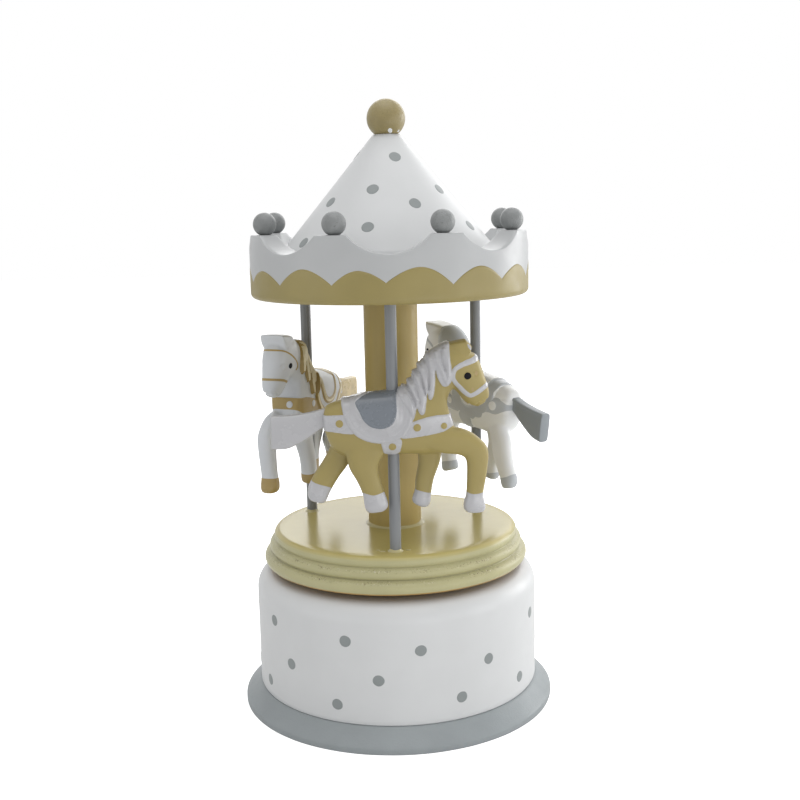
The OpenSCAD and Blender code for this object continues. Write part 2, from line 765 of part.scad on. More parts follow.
module comb_screws() {
    color(steel) comb_screw_places() union() {
        rod(comb_screw_r, axle_z - comb_t / 2 - comb_head_t, plate_under - 1.5, coarse);
        rod(comb_head_r, axle_z - comb_t / 2 - 2 * comb_head_t, axle_z - comb_t / 2, coarse);
    }
}

// A bent plate: a flange under the bedplate, two ears for the wheel, a leg and a foot for the fan
module governor_frame() {
    color(steel) difference() {
        union() {
            translate([frame_x0, frame_y, plate_under - frame_t])
                cube([frame_x1 - frame_x0, gov_y + ear_w / 2 - frame_y, frame_t]);
            translate([frame_x0, frame_y, frame_foot_z])
                cube([frame_x1 - frame_x0, frame_t, plate_under - frame_foot_z]);
            translate([frame_x0, frame_y, frame_foot_z])
                cube([frame_x1 - frame_x0, fan_y + ear_w / 2 - frame_y, frame_t]);
            for (x = [ear_x0, ear_x1]) translate([x, gov_y - ear_w / 2, gov_z - ear_w / 2])
                cube([ear_t, ear_w, plate_under - gov_z + ear_w / 2]);
        }
        translate([ear_x0 - over, gov_y, gov_z]) rotate([0, 90, 0])
            cylinder(r = pivot_r + run, h = ear_x1 + ear_t - ear_x0 + 2 * over, $fn = coarse);
        translate([fan_x, fan_y, 0]) rod(pivot_r + run, frame_foot_z - over, plate_under + over, coarse);
    }
}

// ---- Movement: wheels ----

tooth_root = 0.26;
tooth_tip = 0.10;

// Outline of a gear with n plain teeth, the first of them on the X axis
module gear_outline(n, m) {
    pitch_r = m * n / 2;
    step = 360 / n;
    corners = [[pitch_r - 1.25 * m, -tooth_root], [pitch_r + m, -tooth_tip],
        [pitch_r + m, tooth_tip], [pitch_r - 1.25 * m, tooth_root]];
    polygon([for (i = [0 : n - 1], c = corners) let (a = (i + c[1]) * step)
        [c[0] * cos(a), c[0] * sin(a)]]);
}

// Lays a wheel's outline square to X, with its own X axis turned to the angle in the YZ plane
module on_axle(x, y, z, angle) {
    translate([x, y, z]) rotate([angle, 0, 0]) rotate([90, 0, 90]) children();
}

// One tooth of the crown wheel, a bar with sloping flanks that points away from the arbor
module crown_tooth() {
    pitch = 2 * PI * crown_r / crown_teeth;
    translate([crown_r - crown_face / 2, 0, 0]) rotate([90, 0, 90]) linear_extrude(crown_face)
        polygon([[-tooth_root * pitch, -0.3], [tooth_root * pitch, -0.3],
            [tooth_tip * pitch, 2.1 * crown_module], [-tooth_tip * pitch, 2.1 * crown_module]]);
}

module crown_wheel() {
    color(brass) translate([0, 0, crown_z]) difference() {
        union() {
            rod(crown_r + 1, -crown_disc_t, 0);
            rod(arbor_r + 2, -crown_disc_t - 0.6, 0.4, medium);
            for (i = [0 : crown_teeth - 1]) rotate([0, 0, i * 360 / crown_teeth]) crown_tooth();
        }
        rod(arbor_r + fit, -crown_disc_t - 2, 2, medium);
    }
}

module pinned_cylinder() {
    turns_per_tine = 3;
    color(brass) difference() {
        union() {
            translate([cylinder_x0, 0, axle_z]) rotate([0, 90, 0])
                cylinder(r = cylinder_r, h = cylinder_l, $fn = fine);
            for (i = [0 : tines - 1], k = [0 : turns_per_tine - 1])
                translate([tine_x0 + (i + 0.5) * tine_pitch, 0, axle_z])
                    rotate([i * 137.5 + k * 360 / turns_per_tine, 0, 0]) rod(0.2, cylinder_r - 0.4,
                        cylinder_r + pin_h, 16);
        }
        translate([cylinder_x0 - over, 0, axle_z]) rotate([0, 90, 0])
            cylinder(r = shaft_r + fit, h = cylinder_l + 2 * over, $fn = medium);
    }
}

module cylinder_arbor() {
    color(steel) translate([pinion_x0 - 0.3, 0, axle_z]) rotate([0, 90, 0])
        cylinder(r = shaft_r, h = outer_post_x + outer_post_t + 0.5 - pinion_x0, $fn = medium);
}

module cylinder_pinion() {
    color(brass) difference() {
        on_axle(pinion_x0, 0, axle_z, -90 + 180 / pinion_teeth)
            linear_extrude(pinion_x1 - pinion_x0) gear_outline(pinion_teeth, crown_module);
        translate([pinion_x0 - over, 0, axle_z]) rotate([0, 90, 0])
            cylinder(r = shaft_r + fit, h = pinion_x1 - pinion_x0 + 2 * over, $fn = medium);
    }
}

module cylinder_gear() {
    color(brass) difference() {
        on_axle(gear_x0, 0, axle_z, 180 + gov_dip)
            linear_extrude(gear_t) gear_outline(gear_teeth, fine_module);
        translate([gear_x0 - over, 0, axle_z]) rotate([0, 90, 0])
            cylinder(r = shaft_r + fit, h = gear_t + 2 * over, $fn = medium);
    }
}

// Pinion, worm wheel and pivot turn as one
module governor_wheel() {
    color(brass) union() {
        on_axle(gear_x0 - 0.2, gov_y, gov_z, gov_dip + 180 / gov_pinion_teeth)
            linear_extrude(gear_t + 0.4) gear_outline(gov_pinion_teeth, fine_module);
        on_axle(wheel_x0, gov_y, gov_z, 180 + 180 / worm_wheel_teeth)
            linear_extrude(wheel_t) gear_outline(worm_wheel_teeth, fine_module);
        translate([gear_x0 - 0.2, gov_y, gov_z]) rotate([0, 90, 0])
            cylinder(r = pivot_r, h = ear_x1 + ear_t + 0.4 - gear_x0, $fn = coarse);
    }
}

// Cross section of the worm: a round core with one lobe, which the twist makes into a thread
module worm_section() {
    union() {
        circle(r = worm_core_r, $fn = 8);
        polygon(concat([[0, 0]], [for (a = [-66, -34, 0, 34, 66]) let (
            r = abs(a) > 60 ? worm_core_r : worm_tip_r) [r * cos(a), r * sin(a)]]));
    }
}

module fan() {
    worm_h = worm_turns * worm_pitch;
    blade_h = 5;
    color(brass) translate([fan_x, fan_y, 0]) union() {
        rod(pivot_r, frame_foot_z + 0.1, plate_under - 0.2, coarse);
        translate([0, 0, gov_z - worm_h / 2]) rotate([0, 0, 90 - 180 * worm_turns])
            linear_extrude(worm_h, twist = -360 * worm_turns, slices = 8 * worm_turns) worm_section();
        translate([-fan_r, -0.2, frame_foot_z + 2]) cube([2 * fan_r, 0.4, blade_h]);
        rod(1.2, frame_foot_z + 2, frame_foot_z + 2 + blade_h, coarse);
    }
}

plinth();
base_drum();
bottom_cover();
cover_screws();
turntable_bush();
bedplate();
movement_screws();
spring_housing();
mainspring();
comb();
comb_screws();
governor_frame();
winding_arbor();
crown_wheel();
drive_hub();
hub_screws();
platform();
column();
pole_front();
pole_right();
pole_left();
horse_front();
horse_right();
horse_left();
tail_front();
tail_right();
tail_left();
canopy();
roof_cone();
roof_beads();
finial();
pinned_cylinder();
cylinder_arbor();
cylinder_pinion();
cylinder_gear();
governor_wheel();
fan();
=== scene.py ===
"""Looks of a wind-up music box: a small painted wooden carousel on a round base.

Sizes are in millimetres and are turned into metres when a mesh is made. Z is the axis of the turntable.
Azimuth is measured in degrees from the front (-Y) towards the viewer's right (+X).
"""
import math

import bmesh
import bpy
import numpy as np
from mathutils import Matrix, Vector, noise


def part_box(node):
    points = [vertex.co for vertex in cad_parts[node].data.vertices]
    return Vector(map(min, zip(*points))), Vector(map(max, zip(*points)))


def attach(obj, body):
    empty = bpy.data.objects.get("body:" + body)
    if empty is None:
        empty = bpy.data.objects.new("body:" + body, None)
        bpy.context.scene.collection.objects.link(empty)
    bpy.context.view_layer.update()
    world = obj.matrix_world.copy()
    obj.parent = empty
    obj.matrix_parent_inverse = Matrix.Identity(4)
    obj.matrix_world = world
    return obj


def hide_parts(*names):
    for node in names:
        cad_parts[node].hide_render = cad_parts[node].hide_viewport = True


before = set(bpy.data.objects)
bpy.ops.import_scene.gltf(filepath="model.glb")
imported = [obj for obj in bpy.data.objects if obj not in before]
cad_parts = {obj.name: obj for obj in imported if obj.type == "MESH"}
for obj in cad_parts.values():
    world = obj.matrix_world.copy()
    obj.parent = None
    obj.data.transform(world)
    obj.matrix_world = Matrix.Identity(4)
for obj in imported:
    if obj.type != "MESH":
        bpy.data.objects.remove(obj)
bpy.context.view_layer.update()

MM = 0.001
SPOKES = 28           # points round a painted dot


# -------- sizes from the frame

def node_low(name):
    """Lowest corner of a CAD node, in millimetres."""
    return Vector(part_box(name)[0]) / MM


def node_high(name):
    """Highest corner of a CAD node, in millimetres."""
    return Vector(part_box(name)[1]) / MM


PLINTH_R, _, PLINTH_H = node_high("plinth")
DRUM_R, _, DRUM_TOP = node_high("base_drum")
PLATFORM_Z = node_low("platform").z
PLATFORM_R, _, PLATFORM_TOP = node_high("platform")
CANOPY_Z = node_low("canopy").z
CANOPY_R, _, CANOPY_TOP = node_high("canopy")
COLUMN_R = node_high("column").x
POLE_R = (node_high("pole_front").x - node_low("pole_front").x) / 2
POLE_CIRCLE = -(node_high("pole_front").y + node_low("pole_front").y) / 2
ROOF_Z = node_low("roof_cone").z
ROOF_R, _, ROOF_TOP = node_high("roof_cone")
FINIAL_R, _, FINIAL_TOP = node_high("finial")
# Sizes that no box gives
HORSE_STEP = 120.0    # degrees from pole to pole
SCALLOPS = 8          # round the canopy's rim, with a bead between each two
SCALLOP_R = 18.75
SCALLOP_DEPTH = 6.4
RECESS_R = 39.3       # the canopy's recess, in which the cone stands
RIM_INNER_R = 43.5
ROOF_FOOT = 3.0       # height of the cone's upright foot
ROOF_POINT_R = 5.0    # flat on which the ball stands
BEAD_R = 4.1
BEAD_CIRCLE = 47.0
SHOULDER_R = 7.0
PLINTH_BORE_R = 46.0
COVER_R = 50.0        # recess for the bottom cover
COVER_H = 4.0
DRUM_BORE_R = 47.0
TOP_BOARD_Z = 44.0    # underside of the drum's top board
BUSH_R = 5.05         # hole for the turntable bush
HUB_R = 12.05         # recess for the drive hub, under the platform
HUB_H = 1.5
ARBOR_R = 2.05        # hole for the winding arbor


# -------- mesh helpers

def place_object(name, data):
    """A new object in the scene."""
    obj = bpy.data.objects.new(name, data)
    bpy.context.collection.objects.link(obj)
    return obj


def solid(name, verts, faces, merge=False):
    """A new object whose faces all look outwards. merge joins the points that coincide."""
    mesh = bpy.data.meshes.new(name)
    mesh.from_pydata([tuple(v) for v in verts], [], faces)
    bm = bmesh.new()
    bm.from_mesh(mesh)
    if merge:
        bmesh.ops.remove_doubles(bm, verts=bm.verts, dist=1e-7)
    bmesh.ops.recalc_face_normals(bm, faces=bm.faces)
    bm.to_mesh(mesh)
    bm.free()
    return place_object(name, mesh)


def add_piece(name, verts, faces, slot, material, replaces=(), body="carousel"):
    """Makes one smooth object from points in millimetres and puts it on a CAD body."""
    obj = solid(name, [[c * MM for c in v] for v in verts], faces, merge=True)
    obj.data.materials.append(material)
    obj.data.shade_smooth()
    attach(obj, body)
    if replaces:
        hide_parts(*replaces)
    return obj


def grid_faces(rows, columns, close_rows=False):
    """Quads of a grid whose columns run round, and whose rows may close on themselves."""
    faces = []
    last = rows if close_rows else rows - 1
    for i in range(last):
        for j in range(columns):
            k = (j + 1) % columns
            n = (i + 1) % rows
            faces.append((i * columns + j, i * columns + k, n * columns + k, n * columns + j))
    return faces


def turns(n):
    """n angles that go once round, in radians."""
    return [2 * math.pi * k / n for k in range(n)]


def around(r, z, a):
    """The point at radius r, height z and azimuth a, in radians."""
    return r * math.sin(a), -r * math.cos(a), z


def lathe(profile, segments=256, wobble=0.0, scale=12.0, seed=0.0, centre=(0.0, 0.0)):
    """Turns a profile of (radius, z) round Z. wobble makes the outside uneven, as handwork is.
    The profile closes on itself, or at the axis where it starts and ends at radius 0."""
    verts = []
    for r, z in profile:
        for a in turns(segments):
            swell = wobble * wander(*around(r, z, a), scale, seed) if r > 0 else 0.0
            x, y, _ = around(r + swell, z, a)
            verts.append((x + centre[0], y + centre[1], z))
    at_axis = profile[0][0] == 0 and profile[-1][0] == 0
    return verts, grid_faces(len(profile), segments, close_rows=not at_axis)


def joined(parts):
    """One list of points and faces from several."""
    verts, faces = [], []
    for v, f in parts:
        base = len(verts)
        verts += v
        faces += [tuple(i + base for i in face) for face in f]
    return verts, faces


def arc(cr, cz, radius, start, end, steps):
    """Points of an arc in the (radius, z) half plane, with angles in degrees from the outward direction."""
    return [(cr + radius * math.cos(math.radians(start + (end - start) * i / steps)),
             cz + radius * math.sin(math.radians(start + (end - start) * i / steps)))
            for i in range(steps + 1)]


def dense(points, step):
    """The same line with points no further apart than step."""
    out = []
    for (r0, z0), (r1, z1) in zip(points, points[1:]):
        n = max(1, math.ceil(math.hypot(r1 - r0, z1 - z0) / step))
        out += [(r0 + (r1 - r0) * i / n, z0 + (z1 - z0) * i / n) for i in range(n)]
    return out + [points[-1]]


def wander(x, y, z, scale, seed=0.0):
    """Smooth noise from about -1 to 1 that changes over about scale millimetres."""
    return noise.noise(Vector((x / scale + seed, y / scale - seed, z / scale + 2 * seed)))


def dab(place, width, height, seed, thick=0.07, uneven=0.06):
    """A thin closed drop of paint. place(u, v, h) gives the point u along, v up and h out from its middle."""
    rings = [(1.0, -0.08), (0.985, thick * 0.45), (0.93, thick * 0.85), (0.8, thick), (0.4, thick * 0.93)]
    verts = []
    for share, out in rings:
        for t in turns(SPOKES):
            edge = 1 + uneven * wander(math.cos(t), math.sin(t), seed, 1.1, seed)
            verts.append(place(width * edge * share * math.cos(t), height * edge * share * math.sin(t), out))
    faces = grid_faces(len(rings), SPOKES)
    verts += [place(0, 0, -0.08), place(0, 0, thick * 0.9)]
    low, high = len(verts) - 2, len(verts) - 1
    last = (len(rings) - 1) * SPOKES
    for k in range(SPOKES):
        n = (k + 1) % SPOKES
        faces += [(low, n, k), (high, last + k, last + n)]
    return verts, faces


# -------- materials

def feed(socket, value):
    """Links an output to a socket, or sets the socket's own number or colour."""
    if hasattr(value, "links"):
        socket.node.id_data.links.new(value, socket)
    else:
        socket.default_value = (*value, 1.0) if socket.type == "RGBA" else value


class Graph:
    """A small helper that adds nodes to one material."""

    def __init__(self, name):
        self.material = bpy.data.materials.new(name)
        self.material.use_nodes = True
        self.nodes = self.material.node_tree.nodes
        self.coords = self.nodes.new("ShaderNodeTexCoord").outputs["Object"]

    def node(self, kind, inputs, **settings):
        """Adds a node with its settings and feeds its inputs."""
        node = self.nodes.new(f"ShaderNode{kind}")
        for key, value in settings.items():
            setattr(node, key, value)
        for key, value in inputs.items():
            feed(node.inputs[key], value)
        return node

    def noise(self, scale, detail, roughness, stretch=None):
        """A noise texture, scale in cells per metre and stretch as a factor on it along each axis."""
        place = self.coords
        if stretch:
            place = self.node("Mapping", {"Scale": stretch, "Vector": place}).outputs["Vector"]
        inputs = {"Scale": scale, "Detail": detail, "Roughness": roughness, "Vector": place}
        return self.node("TexNoise", inputs).outputs["Fac"]

    def ramp(self, fac, stops):
        """A ramp of greys with two stops of (place, grey)."""
        node = self.node("ValToRGB", {"Fac": fac})
        for stop, (place, grey) in zip(node.color_ramp.elements, stops):
            stop.position = place
            stop.color = (grey, grey, grey, 1.0)
        return node.outputs["Color"]

    def mix(self, fac, a, b):
        """Blend of two colours or sockets."""
        return self.node("Mix", {0: fac, 6: a, 7: b}, data_type="RGBA").outputs[2]

    def maths(self, operation, a, b=0.0, clamp=False):
        """One maths node."""
        return self.node("Math", {0: a, 1: b}, operation=operation, use_clamp=clamp).outputs[0]

    def times(self, a, b):
        return self.maths("MULTIPLY", a, b)

    def plus(self, a, b):
        return self.maths("ADD", a, b)

    def minus(self, a, b):
        return self.maths("SUBTRACT", a, b)

    def bump(self, height, strength, distance):
        """A bump that stands distance metres proud at full height."""
        return self.node("Bump", {"Strength": strength, "Distance": distance, "Height": height}).outputs["Normal"]

    def finished(self, inputs):
        """The material, with the inputs of its shader fed."""
        for key, value in inputs.items():
            feed(self.nodes["Principled BSDF"].inputs[key], value)
        return self.material


PAINT_RELIEF = 0.12 * MM


def shade(colour, factor):
    """A colour made darker or lighter."""
    return tuple(min(1.0, c * factor) for c in colour)


def painted(name, colour, rough=0.42, mottle=0.06, grain=0.0, grain_scale=(1, 1, 1), specks=0.0,
            peel=0.6, sand=0.0, coat=0.0, gloss=0.5):
    """Brushed or dipped paint on wood: uneven tone, soft orange peel, wood grain that shows through."""
    g = Graph(name)
    patches = g.ramp(g.noise(60, 3, 0.5), [(0.3, 0.0), (0.7, 1.0)])
    base = g.mix(patches, shade(colour, 1 - mottle), shade(colour, 1 + mottle))
    height = g.times(g.noise(900, 5, 0.6), 0.35)
    height = g.plus(height, g.times(g.noise(320, 2, 0.5), peel))
    if grain:
        stripes = g.noise(420, 6, 0.65, grain_scale)
        base = g.mix(g.ramp(stripes, [(0.42, 0.0), (0.62, grain)]), base, shade(colour, 0.72))
        height = g.plus(height, g.times(stripes, 0.8))
    if sand:
        height = g.plus(height, g.times(g.noise(1500, 3, 0.6), sand))
    if specks:
        dirt = g.ramp(g.noise(1400, 2, 0.5), [(0.66, 0.0), (0.72, specks)])
        base = g.mix(dirt, base, shade(colour, 0.55))
    return g.finished({
        "Base Color": base, "Normal": g.bump(height, 0.35, PAINT_RELIEF),
        "Roughness": g.ramp(g.noise(180, 4, 0.6), [(0.3, rough * 0.85), (0.7, rough * 1.2)]),
        "Specular IOR Level": gloss, "Coat Weight": coat, "Coat Roughness": 0.12})


def lacquered_board():
    """Thick lacquer on fibreboard: smooth on the face, rough on the edge, with torn fibres at the grooves."""
    g = Graph("cream lacquer")
    z = g.node("SeparateXYZ", {0: g.coords}).outputs["Z"]
    face = g.maths("MULTIPLY", g.minus(z, (PLATFORM_TOP - 1.6) * MM), 1 / (1.2 * MM), clamp=True)
    edge = g.minus(1.0, face)
    patches = g.ramp(g.noise(70, 3, 0.5), [(0.35, 0.0), (0.7, 0.6)])
    # The face takes the warmer colour, which is partly painted reflection and shade
    base = g.mix(patches, g.mix(face, BOARD_EDGE, BOARD_FACE_AND_REFLECTION),
                 g.mix(face, shade(BOARD_EDGE, 0.9), shade(BOARD_FACE_AND_REFLECTION, 0.93)))
    nearest = g.maths("MINIMUM", *[g.maths("ABSOLUTE", g.minus(z, groove * MM)) for groove in BOARD_GROOVES])
    torn = g.maths("SUBTRACT", 1.0, g.maths("DIVIDE", nearest, 0.9 * MM), clamp=True)
    torn = g.times(torn, g.ramp(g.noise(75, 2, 0.6), [(0.42, 0.25), (0.56, 1.0)]))
    fibres = g.times(g.ramp(g.noise(1500, 3, 0.7), [(0.56, 0.0), (0.63, 1.0)]), torn)
    flakes = g.times(g.ramp(g.noise(1300, 3, 0.7), [(0.60, 0.0), (0.66, 0.8)]), torn)
    over_foot = g.maths("DIVIDE", g.minus(z, (PLATFORM_Z + 0.35) * MM), 0.5 * MM)
    for share, colour in ((fibres, BOARD_FIBRE), (flakes, BOARD_FLAKE),
                          (g.maths("SUBTRACT", 1.0, over_foot, clamp=True), BOARD_FOOT)):
        base = g.mix(share, base, colour)
    ripple = g.times(g.noise(260, 2, 0.5), 0.9)
    coarse = g.times(g.times(g.noise(900, 4, 0.65), edge), 2.2)
    height = g.plus(g.plus(ripple, coarse), g.times(g.minus(flakes, fibres), 1.6))
    return g.finished({"Base Color": base, "Roughness": g.plus(0.22, g.times(edge, 0.08)),
                       "Normal": g.bump(height, 0.4, PAINT_RELIEF), "Specular IOR Level": 0.3})


# The face's colour is partly the lacquer's own and partly painted reflection and shade: it is made warmer for the
# brown column and horses mirrored in it
BOARD_FACE_AND_REFLECTION = (0.51, 0.435, 0.165)
BOARD_EDGE = (0.455, 0.43, 0.24)
BOARD_FIBRE = (0.13, 0.085, 0.04)
BOARD_FLAKE = (0.78, 0.74, 0.58)
BOARD_FOOT = (0.42, 0.25, 0.07)
BOARD_GROOVES = (PLATFORM_Z + 4.2, PLATFORM_Z + 8.0)


def coat(slot, name, colour, **looks):
    """A slot and the paint that goes with it."""
    return f"{slot}_paint", painted(f"{name} paint", colour, **looks)


white = coat("white", "white", (0.615, 0.625, 0.63), rough=0.40, mottle=0.02)
# A darker copy of the white paint for the canopy's rim: the darkness is painted shade
shaded_rim_white = coat("white", "shaded rim white", (0.445, 0.455, 0.46), rough=0.36, mottle=0.02)
plinth_grey = coat("grey", "plinth grey", (0.29, 0.315, 0.325), rough=0.36, mottle=0.05, sand=2.5, gloss=0.2)
dot_grey = coat("grey", "dot grey", (0.24, 0.262, 0.262), rough=0.40, mottle=0.05)
pole_grey = coat("grey", "pole grey", (0.20, 0.21, 0.22), rough=0.35, mottle=0.05)
bead_grey = coat("grey", "bead grey", (0.235, 0.245, 0.245), rough=0.4, mottle=0.08, grain=0.4,
                 grain_scale=(1, 1, 0.6), specks=0.6, sand=5.0)
tan = coat("tan", "tan", (0.327, 0.262, 0.09), rough=0.45, mottle=0.06)
band_tan = coat("tan", "band tan", (0.29, 0.235, 0.083), rough=0.42, mottle=0.06)
column_tan = coat("column", "column tan", (0.40, 0.305, 0.105), rough=0.45, mottle=0.05, grain=0.12,
                  grain_scale=(1, 1, 0.04), gloss=0.4)
finial_tan = coat("tan", "finial tan", (0.31, 0.25, 0.108), rough=0.36, mottle=0.08, grain=0.3,
                  grain_scale=(1, 1, 0.6), specks=0.4, sand=4.0)
glue = "cream_paint", painted("cream glue", (0.50, 0.45, 0.24), rough=0.2, mottle=0.05, peel=0.9, gloss=0.32)
board = "cream_paint", lacquered_board()
ochre = coat("ochre", "ochre", (0.357, 0.257, 0.091), rough=0.4, mottle=0.1)
streaked = coat("ochre", "streaked cream", (0.56, 0.45, 0.24), rough=0.28, mottle=0.12, grain=0.8,
                grain_scale=(0.5, 0.5, 0.9))
saddle_grey = coat("grey", "saddle grey", (0.17, 0.19, 0.216), rough=0.26, mottle=0.05)
dusk = coat("grey", "horse grey", (0.47, 0.495, 0.52), rough=0.4, mottle=0.06)
# The left horse's white, a darker copy of the white paint: the darkness is painted shade
shaded_ivory = coat("white", "ivory white", (0.56, 0.58, 0.605), rough=0.34, mottle=0.03)
# The right horse's white, a lighter copy of the white paint: the extra lightness is painted light
snow_and_lit_white = coat("white", "bright white", (0.78, 0.79, 0.79), rough=0.34, mottle=0.03)
# The right horse's tail grey, a darker copy of its horse grey: the darkness is painted shade
shaded_tail_grey = coat("grey", "shaded tail grey", (0.26, 0.285, 0.305), rough=0.42, mottle=0.04)
worn_tan = coat("tan", "worn tan", (0.36, 0.27, 0.12), rough=0.5, mottle=0.2)
# Pale cream for the left horse's mane strands, and as a painted highlight along its raised saddle lines
cream_and_highlight = coat("cream", "pale cream", (0.70, 0.63, 0.43), rough=0.36, mottle=0.04)
black = coat("black", "black", (0.006, 0.006, 0.008), rough=0.45, mottle=0.2, gloss=0.12)
trim = coat("white", "trim white", (0.44, 0.44, 0.455), rough=0.26, mottle=0.02, coat=0.35)


# -------- camera, light and floor

CAMERA_Y = -424.66
CAMERA_Z = 184.02
CAMERA_YAW = math.radians(0.391)
CAMERA_PITCH = math.radians(9.435)
CAMERA_ROLL = math.radians(-1.243)
CAMERA_LENS = 51.48


def add_camera():
    """The photograph's view: it looks slightly down and leans a little."""
    forward = Vector((math.sin(CAMERA_YAW) * math.cos(CAMERA_PITCH),
                      math.cos(CAMERA_YAW) * math.cos(CAMERA_PITCH), -math.sin(CAMERA_PITCH)))
    right = Vector((math.cos(CAMERA_YAW), -math.sin(CAMERA_YAW), 0))
    up = right.cross(forward)
    side = right * math.cos(CAMERA_ROLL) + up * math.sin(CAMERA_ROLL)
    top = up * math.cos(CAMERA_ROLL) - right * math.sin(CAMERA_ROLL)
    data = bpy.data.cameras.new("camera")
    data.lens = CAMERA_LENS
    data.sensor_width = 36
    data.sensor_fit = "HORIZONTAL"
    data.clip_start = 0.01
    camera = place_object("camera", data)
    camera.matrix_world = Matrix((
        (side.x, top.x, -forward.x, 0), (side.y, top.y, -forward.y, CAMERA_Y * MM),
        (side.z, top.z, -forward.z, CAMERA_Z * MM), (0, 0, 0, 1)))
    bpy.context.scene.camera = camera


def add_light(name, place, target, size, power):
    """A square soft box that looks at a point, both in metres."""
    data = bpy.data.lights.new(name, "AREA")
    data.shape = "RECTANGLE"
    data.size, data.size_y = size
    data.energy = power
    light = place_object(name, data)
    light.location = place
    light.rotation_euler = (Vector(target) - Vector(place)).to_track_quat("-Z", "Y").to_euler()


WORLD_LIGHT = 0.53    # on the object, where the camera and reflections see a strength of 1
FLOOR_GLOW = 0.72     # for the camera alone, so that the floor is as pale as the world
FLOOR_HALF = 3.0
AIM = (0, 0, 0.11)
# Soft boxes: place, target, size and power
LIGHTS = {"top": ((0.0, -0.1, 0.9), AIM, (0.8, 0.8), 3.0),
          "right": ((0.65, -0.3, 0.12), AIM, (0.4, 0.4), 1.0),
          "right back": ((0.7, 0.35, 0.25), AIM, (0.4, 0.4), 2.2),
          "low": ((0.2, -0.4, 0.05), (0, 0, 0.03), (0.35, 0.06), 0.22),
          "left": ((-0.6, -0.3, 0.1), (-0.03, 0, 0.1), (0.4, 0.3), 0.3),
          "fill": ((-0.8, -0.5, 0.45), AIM, (0.7, 0.7), 0.3),
          "rim": ((0.2, 0.9, 0.6), AIM, (1.0, 0.6), 3.4)}


def add_surroundings():
    """White floor and white surroundings as the camera and reflections see them, soft light on the object."""
    world = bpy.data.worlds.new("studio")
    bpy.context.scene.world = world
    world.use_nodes = True
    nodes = world.node_tree.nodes
    path = nodes.new("ShaderNodeLightPath")
    seen = nodes.new("ShaderNodeMath")
    seen.operation = "MAXIMUM"
    feed(seen.inputs[0], path.outputs["Is Camera Ray"])
    feed(seen.inputs[1], path.outputs["Is Glossy Ray"])
    strength = nodes.new("ShaderNodeMapRange")
    feed(strength.inputs["To Min"], WORLD_LIGHT)
    feed(strength.inputs["To Max"], 1.0)
    feed(strength.inputs["Value"], seen.outputs[0])
    feed(nodes["Background"].inputs["Strength"], strength.outputs[0])
    feed(nodes["Background"].inputs["Color"], (1, 1, 1))

    g = Graph("studio floor")
    glow = g.times(g.node("LightPath", {}).outputs["Is Camera Ray"], FLOOR_GLOW)
    mesh = bpy.data.meshes.new("floor")
    corners = [(x * FLOOR_HALF, y * FLOOR_HALF, 0) for x, y in ((-1, -1), (1, -1), (1, 1), (-1, 1))]
    mesh.from_pydata(corners, [], [(0, 1, 2, 3)])
    mesh.materials.append(g.finished({"Base Color": (0.9, 0.9, 0.9), "Roughness": 0.9, "Specular IOR Level": 0.0,
                                      "Emission Color": (1, 1, 1), "Emission Strength": glow}))
    place_object("floor", mesh)
    for name, light in LIGHTS.items():
        add_light(name, *light)


bpy.context.scene.view_settings.view_transform = "Standard"
add_camera()
add_surroundings()


# -------- base

# Dots on the drum, as (azimuth, height). Those of the first two rows show from the front.
DRUM_DOTS = [(-57, 38.5), (-46, 25), (-63, 14), (-20, 38), (-24, 14.5), (-7.5, 24.5), (8.5, 35),
             (24.5, 16), (37, 27.5), (56.5, 15), (68, 36),
             (84, 22), (98, 39), (112, 17), (127, 31), (146, 14.5), (153, 38), (171, 25.5), (186, 14),
             (194, 37.5), (212, 24), (227, 38.5), (238, 15), (256, 29), (276, 39), (279, 16.5)]
DRUM_DOT_R = 2.1


def on_drum(azimuth, z):
    """Places points round a spot on the drum's side."""
    a0 = math.radians(azimuth)
    return lambda u, v, h: around(DRUM_R + h, z + v, a0 + u / DRUM_R)


def make_base():
    """Turned plinth with an upright edge and a sloping top, and the round drum on it."""
    edge = 2.0
    rim = PLINTH_R - 0.06
    outer = [(rim - 0.5, 0), (rim - 0.12, 0.12), (rim, 0.5), (rim, edge - 0.3)]
    outer += arc(rim - 1.2, edge - 0.3, 1.2, 0, 40, 5)[1:]
    outer += [(55.6, 5.3), (DRUM_R + 0.35, PLINTH_H - 0.35), (DRUM_R - 0.6, PLINTH_H - 0.05)]
    bore = [(PLINTH_BORE_R, PLINTH_H), (PLINTH_BORE_R, COVER_H), (COVER_R, COVER_H), (COVER_R, 0)]
    add_piece("plinth_ring", *lathe(dense(outer, 0.8) + bore, 288, 0.05, 9, 3.1), *plinth_grey, ["plinth"], "base")

    shoulder_z = DRUM_TOP - SHOULDER_R
    outer = dense([(DRUM_R - 0.15, PLINTH_H), (DRUM_R, PLINTH_H + 0.3), (DRUM_R, shoulder_z)], 1.5)
    outer += arc(DRUM_R - SHOULDER_R, shoulder_z, SHOULDER_R, 0, 90, 16)[1:]
    outer += dense([(DRUM_R - SHOULDER_R, DRUM_TOP), (BUSH_R, DRUM_TOP)], 3)[1:]
    inner = [(BUSH_R, TOP_BOARD_Z), (DRUM_BORE_R, TOP_BOARD_Z), (DRUM_BORE_R, PLINTH_H)]
    add_piece("drum_shell", *lathe(outer + inner, 288, 0.05, 22, 1.7), *white, ["base_drum"], "base")

    dots = [dab(on_drum(a, z), DRUM_DOT_R, DRUM_DOT_R * 0.97, 3.7 * i) for i, (a, z) in enumerate(DRUM_DOTS)]
    add_piece("drum_dots", *joined(dots), *dot_grey, body="base")


# -------- turntable

